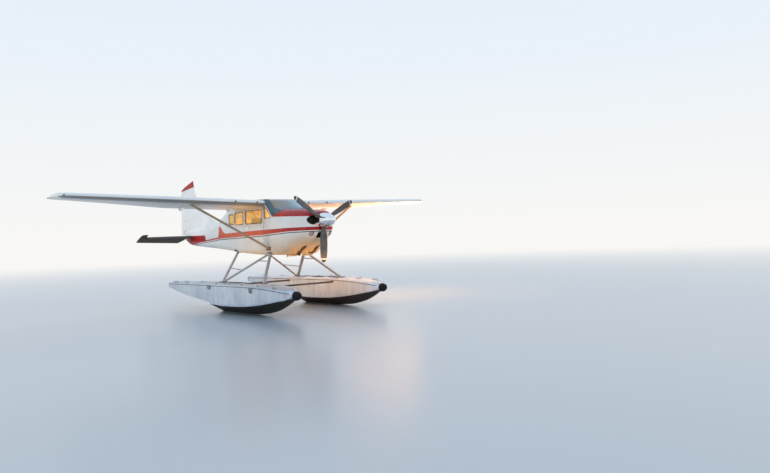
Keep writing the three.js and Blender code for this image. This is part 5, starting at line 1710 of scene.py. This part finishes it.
def swell(thing):
    """Blows a pad up a little, as its stuffing does, holding its seams and its underside."""
    voxels = thing.modifiers.new("even_faces", "REMESH")
    voxels.mode = "VOXEL"
    voxels.voxel_size = VOXEL
    mesh = bpy.data.meshes.new_from_object(thing.evaluated_get(bpy.context.evaluated_depsgraph_get()))
    thing.modifiers.clear()
    thing.data = mesh
    rest = np.array([vert.co for vert in mesh.vertices])
    low, high = rest.min(0), rest.max(0)
    held = thing.vertex_groups.new(name="held")
    third = (high[1] - low[1]) / 3
    for index, point in enumerate(rest):
        seam = min(abs(point[1] - low[1] - third), abs(high[1] - third - point[1])) < 0.006
        if seam or point[1] - low[1] < 0.004 or high[1] - point[1] < 0.004 or point[2] - low[2] < 0.01:
            held.add([index], 1.0, "REPLACE")
    cloth = thing.modifiers.new("cover", "CLOTH")
    cloth.settings.use_pressure = True
    cloth.settings.uniform_pressure_force = PRESSURE
    cloth.settings.effector_weights.gravity = 0
    cloth.settings.vertex_group_mass = "held"
    cloth.settings.quality = 4
    cloth.collision_settings.use_collision = False
    cloth.point_cache.frame_start = 1
    cloth.point_cache.frame_end = SWELL_FRAMES
    for number in range(1, SWELL_FRAMES + 1):
        bpy.context.scene.frame_set(number)
    puffed = bpy.data.meshes.new_from_object(thing.evaluated_get(bpy.context.evaluated_depsgraph_get()))
    thing.modifiers.clear()
    bpy.context.scene.frame_set(1)
    moves = np.array([vert.co for vert in puffed.vertices]) - rest
    lengths = np.linalg.norm(moves, axis=1, keepdims=True)
    moves *= np.minimum(1, SWELL_LIMIT / np.maximum(lengths, 1e-9))
    mesh.vertices.foreach_set("co", (rest + moves).ravel())
    mesh.update()


def pad(name, outline, from_y, to_y):
    thing = side_prism(name, rounded(outline, PAD_CORNER), from_y + 0.012, to_y - 0.012)
    swell(thing)
    return thing


def piping(outline, y):
    return tube_along("piping", [(x, y, z) for x, z in rounded(outline, PAD_CORNER, 8)], 0.006, 8)


for name, back_x, half, centre_y in SEATS:
    cushion, backrest = ([(back_x + x, FLOOR_Z + z) for x, z in shape] for shape in (CUSHION, BACKREST))
    sides = (centre_y - half, centre_y + half)
    for part, outline in (("cushion", cushion), ("backrest", backrest)):
        piece = pad(f"{name}_{part}", outline, *sides)
        carve(piece, body_loft("inside_walls", -0.47, 2.2, -WALL - 0.004), operation="INTERSECT")
        dress(piece, seat_cloth, "seat", sharp=60)
        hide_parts(name)
    if name != "rear_bench":
        seams = (sides[0] + SEAM_IN, sides[1] - SEAM_IN)
        edges = [piping(outline, y) for outline in (cushion, backrest) for y in seams]
        dress(join(f"{name}_piping", edges), piping_cloth, "seat")
    tubes = []
    for side in (-1, 1):
        y = centre_y + side * (half - 0.040)
        for x in (back_x + 0.06, back_x + 0.45):
            tubes.append(rod("leg", (x, y, FLOOR_Z + 0.006), (x, y, FLOOR_Z + 0.154), 0.012, 14))
        rail = block(
            (back_x - 0.05, y - 0.012, FLOOR_Z + 0.0005), (back_x + 0.53, y + 0.012, FLOOR_Z + 0.010)
        )
        tubes.append(rail)
    dress(join(f"{name}_legs", tubes), gear_alloy, "alloy")

# Cabin interior
# A gold-tan lining of cloth-covered board on the walls and roof, a carpeted floor, a dark instrument panel
# with a row of dials, and two control wheels on tubes that run into it.
PANEL = [(1.900, 2.050), (1.900, 2.380), (2.000, 2.470), (1.990, 2.500), (1.860, 2.440), (1.860, 2.050)]
DIALS = [(y, z) for z in (2.300, 2.175) for y in (-0.38, -0.26, 0.20, 0.32, 0.44)]
walls = body_loft("wall_lining", BULKHEAD_X + 0.032, FIREWALL_X - 0.032, -WALL - GAP)
cutters = [body_loft("room", BULKHEAD_X - 0.1, FIREWALL_X + 0.1, -WALL - 0.006)]
for outline in (rounded(grown(DOOR, 0.010), 0.050), grown(REAR_WINDOW, 0.008), grown(AFT_WINDOW, 0.008),
                grown(SIDE_PANE, 0.008)):
    cutters.append(side_prism("opening", outline, -BEYOND, BEYOND))
cutters.append(
    side_prism("shield_opening", grown(SHIELD, 0.004), -SHIELD_HALF - 0.004, SHIELD_HALF + 0.004)
)
carve(walls, *cutters)
dress(walls, lining, "seat")
floor_board = block((BULKHEAD_X + 0.034, -0.6, FLOOR_Z - 0.012), (FIREWALL_X - 0.034, 0.6, FLOOR_Z))
carve(floor_board, body_loft("room", -0.48, 2.24, -WALL - 0.008), operation="INTERSECT")
carpet = finish("carpet", (0.20, 0.16, 0.12), (0.13, 0.10, 0.08), 30, (0.9, 1.0), bump=0.003)
floor_board.name = "cabin_floor"
dress(floor_board, carpet, "seat")
panel_finish = finish(
    "panel_crackle", (0.050, 0.048, 0.046), (0.030, 0.029, 0.028), 18, (0.6, 0.8), bump=0.0006
)
panel = side_prism("panel_board", rounded(PANEL, 0.008, 3), -0.56, 0.56)
carve(panel, body_loft("room", 1.5, 2.25, -WALL - 0.0008), operation="INTERSECT")
dress(panel, panel_finish, "panel", "instrument_panel")
dial_face = finish("dial_face", (0.09, 0.09, 0.09), (0.03, 0.03, 0.03), 90, (0.2, 0.3))
bezels, faces = [], []
for y, z in DIALS:
    ring = [(1.857, *point) for point in oval(y, z, 0.040, 0.040, 24)]
    bezels.append(tube_along("bezel", ring, 0.005, 8))
    faces.append(rod("dial", (1.8555, y, z), (1.8598, y, z), 0.037, 24))
for row in range(4):
    z = 2.125 + 0.062 * row
    faces.append(block((1.850, -0.14, z), (1.8598, 0.08, z + 0.052)))
dress(join("dial_bezels", bezels), chrome, "alloy")
dress(join("dials_and_radios", faces), dial_face, "panel")
WHEEL = {"y": 0.30, "z": 2.10, "half_width": 0.135, "half_height": 0.095}
wheels = []
for side in (-1, 1):
    y = side * WHEEL["y"]
    wheels.append(rod("column", (1.70, y, WHEEL["z"]), (1.8597, y, WHEEL["z"]), 0.013, 16))
    arc = []
    for a in np.radians(np.linspace(-125, 125, 26)):
        arc.append(
            (1.69, y + WHEEL["half_width"] * math.sin(a), WHEEL["z"] - WHEEL["half_height"] * math.cos(a))
        )
    wheels.append(tube_along("wheel", arc, 0.011, 10, closed=False))
    wheels.append(block((1.683, y - 0.125, 2.088), (1.697, y + 0.125, 2.112)))
dress(join("control_wheels", wheels), panel_finish, "panel")

# Float fittings
# On each float: a dark rubbing strip along the deck's edge, spray rails along the chine, round hatches,
# rubber plugs over the pump-out tubes, a grip walkway, mooring handles, cleats and the feet of the gear.
RUB_Z_DROP = 0.036
HATCH_RADIUS = 0.095
HATCH_XS = (-1.25, -0.35, 1.10, 1.85, 3.05)
PLUG_XS = (-1.55, -0.75, 0.15, 0.95, 1.60, 2.15, 2.80, 3.35)
HANDLES = ((0.780, 0.663, 0.587), (2.693, 0.647, 0.554))
CLEAT_XS = (-1.62, 1.45, 3.45)


def float_row(x):
    return smooth(FLOAT_FRONT if x > STEP_X else FLOAT_BACK, x)


def deck_at(x, y):
    """Height of the float's deck at a distance y from its centreline."""
    half, deck, chine, keel = float_row(x)
    return deck + DECK_CROWN * max(0, 1 - (y / (half - DECK_EDGE)) ** 2)


def deck_plate(name, outline, lift, thick, step=0.05):
    """A plate that lies on the deck and follows its crown, from an outline of x and y."""
    def at(height):
        return lambda x, y: (x, y - FLOAT_Y, deck_at(x, y) + height)
    return slab_of(name, [outline], at(lift + thick), at(lift), step)


strips = []
for side in (-1, 1):
    edge = []
    for x in np.linspace(-1.93, 3.86, 60):
        half, deck, chine, keel = float_row(x)
        edge.append((x, side * (half + 0.003) - FLOAT_Y, deck - RUB_Z_DROP))
    strips.append(tube_along("rub_strip", edge, 0.0075, 8, closed=False))
rub_finish = finish("worn_rubber", (0.17, 0.115, 0.085), (0.09, 0.065, 0.055), 10, (0.7, 0.9), bump=0.0006)
dress_pair(join("rubbing_strip", strips), rub_finish, "rubber")

rails = []
for side in (-1, 1):
    rings = []
    for x in np.linspace(1.20, 3.78, 48):
        half, deck, chine, keel = float_row(x)
        fade = min(1, (x - 1.19) / 0.3, (3.80 - x) / 0.2)
        reach = 0.030 * max(fade, 0.05)
        profile = [
            (half - 0.003, chine + 0.016), (half + reach, chine - 0.006),
            (half + reach, chine - 0.012), (half - 0.006, chine - 0.002),
        ]
        rings.append([(x, side * y - FLOAT_Y, z) for y, z in profile])
    rails.append(loft("spray_rail", rings))
dress_pair(join("spray_rails", rails), float_alloy, "alloy")

hatches = []
for x in HATCH_XS:
    hatches.append(deck_plate("hatch", oval(x, 0, HATCH_RADIUS, HATCH_RADIUS, 32), 0.0003, 0.004))
    knob_z = deck_at(x, 0) + 0.004
    hatches.append(rod("knob", (x, -FLOAT_Y, knob_z), (x, -FLOAT_Y, knob_z + 0.012), 0.014, 16))
dress_pair(join("float_hatches", hatches), gear_alloy, "alloy")

plugs = []
for x in PLUG_XS:
    y = -(float_row(x)[0] - 0.11)
    z = deck_at(x, y)
    profile = ((0.022, 0.0), (0.022, 0.004), (0.015, 0.006), (0.013, 0.012), (0.009, 0.017), (0.003, 0.019))
    rings = []
    for radius, height in profile:
        rings.append([(*point, z + height) for point in oval(x, y - FLOAT_Y, radius, radius, 16)])
    plugs.append(loft("plug", rings))
dress_pair(join("pump_out_plugs", plugs), rubber, "rubber")

grip = finish("grip_tape", (0.060, 0.060, 0.064), (0.035, 0.035, 0.038), 40, (0.9, 1.0), bump=0.0015)
walkways = []
for from_x, to_x in ((0.66, 1.02), (1.20, 1.76), (1.94, 2.36)):
    walkways.append(
        deck_plate("walkway", rounded(rectangle(to_x, from_x, -0.13, 0.21), 0.03), 0.0003, 0.0022)
    )
dress_pair(join("walkways", walkways), grip, "rubber")

handles = []
for x, top, foot in HANDLES:
    side_y = -FLOAT_Y - float_row(x)[0]
    for shift in (-0.045, 0.045):
        loop = [(x + shift, side_y + 0.010, top), (x + shift, side_y - 0.014, top - 0.004)]
        loop += [
            (x + shift * (1 - 0.25 * t), side_y - 0.020, top + (foot - top) * t)
            for t in (0.15, 0.4, 0.7, 0.95)
        ]
        handles.append(tube_along("strap", loop, 0.009, 8, closed=False))
    bar = [
        (x - 0.045, side_y - 0.020, foot + 0.012), (x, side_y - 0.024, foot),
        (x + 0.045, side_y - 0.020, foot + 0.012)
    ]
    handles.append(tube_along("bar", bar, 0.009, 8, closed=False))
dress_pair(join("mooring_handles", handles), rubber, "rubber")

cleats = []
for x in CLEAT_XS:
    y = -(float_row(x)[0] - 0.075)
    z = deck_at(x, y)
    for shift in (-0.022, 0.022):
        cleats.append(
            rod("post", (x + shift, y - FLOAT_Y, z - 0.004), (x + shift, y - FLOAT_Y, z + 0.026), 0.007, 12)
        )
    horn_line = [(x + t, y - FLOAT_Y, z + 0.030 + 0.6 * t * t) for t in np.linspace(-0.085, 0.085, 9)]
    cleats.append(tube_along("horns", horn_line, 0.008, 10, closed=False))
eye_x = 3.80
eye = [(a, -FLOAT_Y, b) for a, b in oval(eye_x, deck_at(eye_x, 0) + 0.024, 0.030, 0.030, 20)]
cleats.append(tube_along("bow_eye", eye, 0.006, 8))
dress_pair(join("cleats", cleats), gear_alloy, "alloy")

bronze = finish(
    "bronze_fitting", (0.23, 0.13, 0.075), (0.14, 0.085, 0.055), 16, (0.5, 0.7), metal=0.7, bump=0.001
)
feet = []
for foot in (FRONT_FOOT, REAR_FOOT):
    y = foot.y + FLOAT_Y
    outline = rounded(rectangle(foot.x + 0.115, foot.x - 0.125, y - 0.060, y + 0.060), 0.02)
    feet.append(deck_plate("foot_plate", outline, 0.0003, 0.008, 0.03))
    for dx in (-0.10, 0.09):
        for dy in (-0.042, 0.042):
            z = deck_at(foot.x + dx, y + dy) + 0.008
            start = Vector((foot.x + dx, foot.y + dy, z))
            feet.append(rod("bolt", start, start + Vector((0, 0, 0.009)), 0.009, 6))
PLATE_CUT = (0.108, 0.051, 0.10, 30)
foot_plates = join("gear_feet", feet)
carve(
    foot_plates,
    leg(FRONT_FOOT, FRONT_TOP, PLATE_CUT),
    leg(REAR_FOOT, REAR_TOP, PLATE_CUT),
    strut("diagonal_cutter", REAR_FOOT, FRONT_TOP, 0.088, 0.045, 0.0, 24),
)
dress_pair(foot_plates, bronze, "alloy")

# Rivets of the floats
# Double rows of aluminium rivets follow each bulkhead down the hull's sides, and single rows run along the
# chine and the deck. Each one is a low domed head on the skin.
BULKHEAD_XS = (-1.45, -0.95, -0.35, 0.20, 0.70, 1.15, 1.70, 2.25, 2.75, 3.20, 3.55)
places = []
for x in BULKHEAD_XS:
    for shift in (-0.013, 0.013):
        half, deck, chine, keel = float_row(x + shift)
        for z in np.arange(chine + 0.03, deck - 0.07, 0.035):
            for side in (-1, 1):
                places.append(((x + shift, side * half - FLOAT_Y, z), (0, side, 0)))
        for y in np.arange(-(half - 0.09), half - 0.08, 0.045):
            places.append(((x + shift, y - FLOAT_Y, deck_at(x + shift, y)), (0, 0.1 * y, 1)))
for x in np.arange(-1.9, 3.8, 0.042):
    half, deck, chine, keel = float_row(x)
    for side in (-1, 1):
        places.append(((x, side * half - FLOAT_Y, deck - 0.085), (0, side, 0)))
        places.append(((x, side * half - FLOAT_Y, chine + 0.028), (0, side, 0)))
        places.append(((x, side * (half - 0.066) - FLOAT_Y, deck_at(x, half - 0.066)), (0, 0, 1)))
dress_pair(rivets("float_rivets", places), float_alloy, "alloy", sharp=80)

# Wing fittings
# Two round air vents in each leading edge, a flush fuel cap, the root fairing strip, a tie-down ring, the
# position light on each tip, and rows of rivets along the spars and ribs.
VENT_YS = (0.800, 1.420)
VENT_RADIUS = 0.026
LIGHT_Y = 5.375
RIB_YS = (0.72, 1.05, 1.40, 1.75, 2.10, 2.45, 2.85, 3.25, 3.65, 4.05, 4.45, 4.85, 5.15)
SPAR_SHARES = (0.09, 0.26, 0.62, 0.755)
vents, vent_rims = [], []
for y in VENT_YS:
    lead = wing_skin(y, 0.004, 1)
    vents.append(rod("vent", lead - Vector((0.006, 0, 0)), lead + Vector((0.0055, 0, 0)), VENT_RADIUS, 24))
    rim = []
    for a in round_angles(24):
        rim.append(lead + Vector((0.006, VENT_RADIUS * math.cos(a), VENT_RADIUS * math.sin(a))))
    vent_rims.append(tube_along("rim", rim, 0.004, 8))
# The vents are solid near-black discs: painted shade in their mouths.
dress_pair(join("wing_vents", vents), shade_and_dark_metal, "iron")
dress_pair(join("wing_vent_rims", vent_rims), wing_finish, "white")


def wing_top(y, t):
    """A place on the wing's upper skin and the skin's slope there."""
    here, on = wing_skin(y, t, 1), wing_skin(y, t + 0.01, 1)
    run = on - here
    return here, Vector((-run.z, 0, run.x)) * -1


caps = []
for radius, low, high in ((0.052, 0.0002, 0.003), (0.038, 0.003, 0.006)):
    here, normal = wing_top(1.55, 0.30)
    normal.normalize()
    caps.append(rod("cap", here + normal * low, here + normal * high, radius, 28))
here, normal = wing_top(1.55, 0.30)
caps.append(
    block(
        (here.x - 0.030, here.y - 0.004, here.z + 0.005), (here.x + 0.030, here.y + 0.004, here.z + 0.013)
    )
)
dress_pair(join("fuel_cap", caps), chrome, "alloy")

ring_at = wing_skin(2.60, 0.30, -1)
ring = [ring_at + Vector((0.022 * math.cos(a), 0, 0.022 * math.sin(a) - 0.018)) for a in round_angles(20)]
dress_pair(tube_along("tie_down_ring", ring, 0.005, 8), chrome, "alloy")

root_rings = []
for y, out in ((0.50, 0.0035), (0.628, 0.0035), (0.632, 0.0004)):
    upper, lower = wing_ring(y, cove_start(y) - 0.004, out)
    root_rings.append(upper + lower)
fairing = loft("root_fairing", root_rings)
carve(fairing, body_loft("body_cutter", -0.3, 2.0, GAP))
dress_pair(fairing, wing_finish, "white")

green_lens = finish("green_lens", (0.01, 0.35, 0.16), (0.01, 0.28, 0.12), 12, (0.05, 0.1))
red_lens = finish("red_lens", (0.50, 0.01, 0.01), (0.40, 0.01, 0.01), 12, (0.05, 0.1))
for word, side, lens in (("right", -1, green_lens), ("left", 1, red_lens)):
    centre = wing_skin(LIGHT_Y, 0.004, 1)
    rings = []
    for turn in np.linspace(0.15, math.pi - 0.15, 11):
        y = side * abs(centre.y) + 0.034 * math.cos(turn)
        around = oval(centre.x, centre.z, 0.020 * math.sin(turn), 0.015 * math.sin(turn), 20)
        rings.append([(a, y, b) for a, b in around])
    dress(loft(f"position_light_{word}", rings), lens, "glass")

places = []
for y in RIB_YS:
    for t in np.linspace(0.05, 0.745 if y < 5.2 else 0.9, 26):
        for side in (1, -1):
            places.append((wing_skin(y, t, side), (0, 0, side)))
for share in SPAR_SHARES:
    for y in np.arange(0.66, 5.18, 0.042):
        for side in (1, -1):
            places.append((wing_skin(y, min(share, cove_start(y) - 0.012), side), (0, 0, side)))
dress_pair(rivets("wing_rivets", places), wing_finish, "white", sharp=80)

# Body fittings
# Rows of rivets along the frames and stringers, an oil door and screws on the cowling, cowl flaps, a small
# outlet in the chin, the belly mast, the baggage door to port and the pads under the gear's upper ends.
FRAME_XS = (-3.60, -3.25, -2.85, -2.40, -1.95, -1.50, -1.05, -0.62, 0.075, 0.59, 1.59, 2.20)
STRINGER_ANGLES = (20, 42, 138, 160)
OUTLET = (2.600, 0.094, 1.440)


def skin_point(x, angle):
    """A point on the body's skin, by angle round its middle from the bottom, and the way out from it."""
    ring = body_ring(x)
    half, bottom, top, low, high = smooth(BODY, x)
    middle = np.array([x, 0, (bottom + top) / 2])
    want = np.array([0, math.sin(math.radians(angle)), -math.cos(math.radians(angle))])
    best = None
    for a, b in zip(ring, np.roll(ring, -1, axis=0)):
        da, db = a - middle, b - middle
        cross_a = da[1] * want[2] - da[2] * want[1]
        cross_b = db[1] * want[2] - db[2] * want[1]
        if cross_a * cross_b <= 0 and (da + db) @ want > 0:
            share = cross_a / (cross_a - cross_b) if cross_a != cross_b else 0
            run = b - a
            best = (a + share * run, np.array([0, run[2], -run[1]]))
    return best


def outside_openings(point):
    """True where a rivet may sit: away from doors, windows, windshield and wing."""
    x, y, z = point
    if 0.60 < x < 1.62 and 1.45 < z < 2.63:
        return False
    if -0.36 < x < 0.60 and z > 2.17:
        return False
    return not (x > 0.0 and z > 2.52) and not (1.58 < x < 2.06 and z > 2.30)


places = []
for x in FRAME_XS:
    for angle in range(4, 360, 3):
        found = skin_point(x, angle)
        if found is not None and outside_openings(found[0]):
            places.append(found)
for angle in STRINGER_ANGLES:
    for turned in (angle, 360 - angle):
        for x in np.arange(-3.55, 2.22, 0.05):
            found = skin_point(x, turned)
            if found is not None and outside_openings(found[0]):
                places.append(found)
dress(rivets("body_rivets", places), body_paint, "white", sharp=80)

COWL_SCREW = {"radius": 0.0085, "height": 0.0022}
places = []
for x, angles in ((2.290, range(6, 360, 8)), (2.74, list(range(60, 130, 8)) + list(range(230, 300, 8)))):
    for angle in angles:
        places.append(skin_point(x, angle))
for x in np.arange(2.34, 3.12, 0.11):
    for angle in (78, 282):
        places.append(skin_point(x, angle))
places = [place for place in places if place is not None]
dress(rivets("cowl_fasteners", places, COWL_SCREW), chrome, "alloy", sharp=80)


def top_z(x, y, grow):
    half, bottom, top, low, high = smooth(BODY, x)
    beyond = abs(y) - (half - high)
    return top + grow if beyond <= 0 else top - high + math.sqrt(max((high + grow) ** 2 - beyond**2, 0))


def top_panel(name, outline, outer, inner):
    def at(grow):
        return lambda x, y: (x, y, top_z(x, y, grow))
    return slab_of(name, [outline], at(outer), at(inner), 0.03)


oil_door = top_panel("oil_door", rounded(rectangle(2.86, 2.68, -0.26, -0.10), 0.02), 0.0022, 0.0003)
dress(oil_door, body_paint, "white")
latch = top_panel("oil_latch", rounded(rectangle(2.79, 2.75, -0.250, -0.235), 0.005), 0.0045, 0.0024)
dress(latch, chrome, "alloy")

FLAP_IN, FLAP_OUT = 0.10, 0.34
profile = [(2.452, 1.3886), (2.448, 1.3846), (2.285, 1.3396), (2.285, 1.3436)]
flaps = [side_prism("cowl_flap", profile, -FLAP_OUT, -FLAP_IN)]
cheek = [(2.440, 1.3844), (2.290, 1.3850), (2.290, 1.3440)]
for y in (-FLAP_OUT, -FLAP_IN - 0.003):
    flaps.append(side_prism("cheek", cheek, y, y + 0.003))
dress_pair(join("cowl_flap", flaps), body_paint, "white")


def bottom_z(x, y, grow):
    half, bottom, top, low, high = smooth(BODY, x)
    beyond = abs(y) - (half - low)
    return bottom - grow if beyond <= 0 else bottom + low - math.sqrt(max((low + grow) ** 2 - beyond**2, 0))


def bottom_panel(name, outline, outer, inner):
    def at(grow):
        return lambda x, y: (x, y, bottom_z(x, y, grow))
    return slab_of(name, [outline], at(outer), at(inner), 0.03)


# A near-black oval on the cowling's underside is painted shade of the exhaust opening.
dress_pair(
    bottom_panel("exhaust_opening_shade", oval(2.765, -0.205, 0.105, 0.062, 32), 0.0022, 0.0003), shade_and_dark_metal,
    "iron"
)
stain = [(2.660, -0.150), (2.660, -0.262), (2.540, -0.275), (2.470, -0.235), (2.540, -0.165)]
dress_pair(bottom_panel("heat_shield", rounded(stain, 0.02), 0.0016, 0.0003), burnt, "iron")
# A near-black block in the gap under the cowl flaps is painted shade.
shade = block((2.30, -0.335, 1.372), (2.44, -0.105, 1.3842))
shade.name = "cowl_flap_opening_shade"
dress_pair(shade, shade_and_dark_metal, "iron")

outlet_ring = []
for a in round_angles(24):
    outlet_ring.append(
        Vector(OUTLET) + Vector((0.020 * math.cos(a), 0.042 * math.sin(a), 0.036 * math.cos(a)))
    )
outlet = loft("oil_cooler_outlet", [
    [p + Vector((0.02, 0, 0.02)) for p in outlet_ring], outlet_ring,
    [Vector(OUTLET) + (p - Vector(OUTLET)) * 0.8 for p in outlet_ring],
    [Vector(OUTLET) + (p - Vector(OUTLET)) * 0.8 + Vector((0.018, 0, 0.018)) for p in outlet_ring],
])
dress(outlet, burnt, "iron")

mast = strut("belly_mast", (1.775, 0, 1.39), (1.745, 0, 1.320), 0.042, 0.012, 0.0, 4)
dress(mast, rubber, "rubber")

baggage = side_panel(
    "baggage_door", [rounded(rectangle(-0.08, -0.44, 1.68, 2.12), 0.04)], 1, 0.0022, 0.0003
)
dress(baggage, body_paint, "white")
baggage_latch = side_panel(
    "baggage_latch", [rounded(rectangle(-0.37, -0.42, 1.89, 1.92), 0.008)], 1, 0.008, 0.0024
)
dress(baggage_latch, chrome, "alloy")

# Strut fittings
# Forged fittings carry the wing struts and the gear's upper ends on the body: flat plates with bolts round
# them, stained brown by oil and damp.
FITTINGS = ((1.765, 1.552, 0.098, 0.092), (1.792, 1.446, 0.085, 0.034), (0.035, 1.520, 0.085, 0.050))
plates = []
for x, z, reach, height in FITTINGS:
    outline = rounded(rectangle(x + reach, x - reach, z - height / 2, z + height / 2), 0.012)
    plates.append(side_panel("plate", [outline], -1, 0.006, 0.0003))
    for shift in (-0.8, 0.8):
        place = (x + shift * reach, -skin_y(x + shift * reach, z, 0.006), z)
        plates.append(rod("bolt", place, Vector(place) - Vector((0, 0.008, 0)), 0.008, 6))
fittings = join("strut_fittings", plates)
carve(
    fittings,
    strut("strut_cutter", STRUT_FOOT, STRUT_HEAD, 0.1206, 0.0526, 0.12, 60),
    leg(FRONT_FOOT, FRONT_TOP, LEG_CUT),
    leg(REAR_FOOT, REAR_TOP, LEG_CUT),
    strut("diagonal_cutter", REAR_FOOT, FRONT_TOP, *DIAGONAL_CUT),
)
dress_pair(fittings, bronze, "alloy")
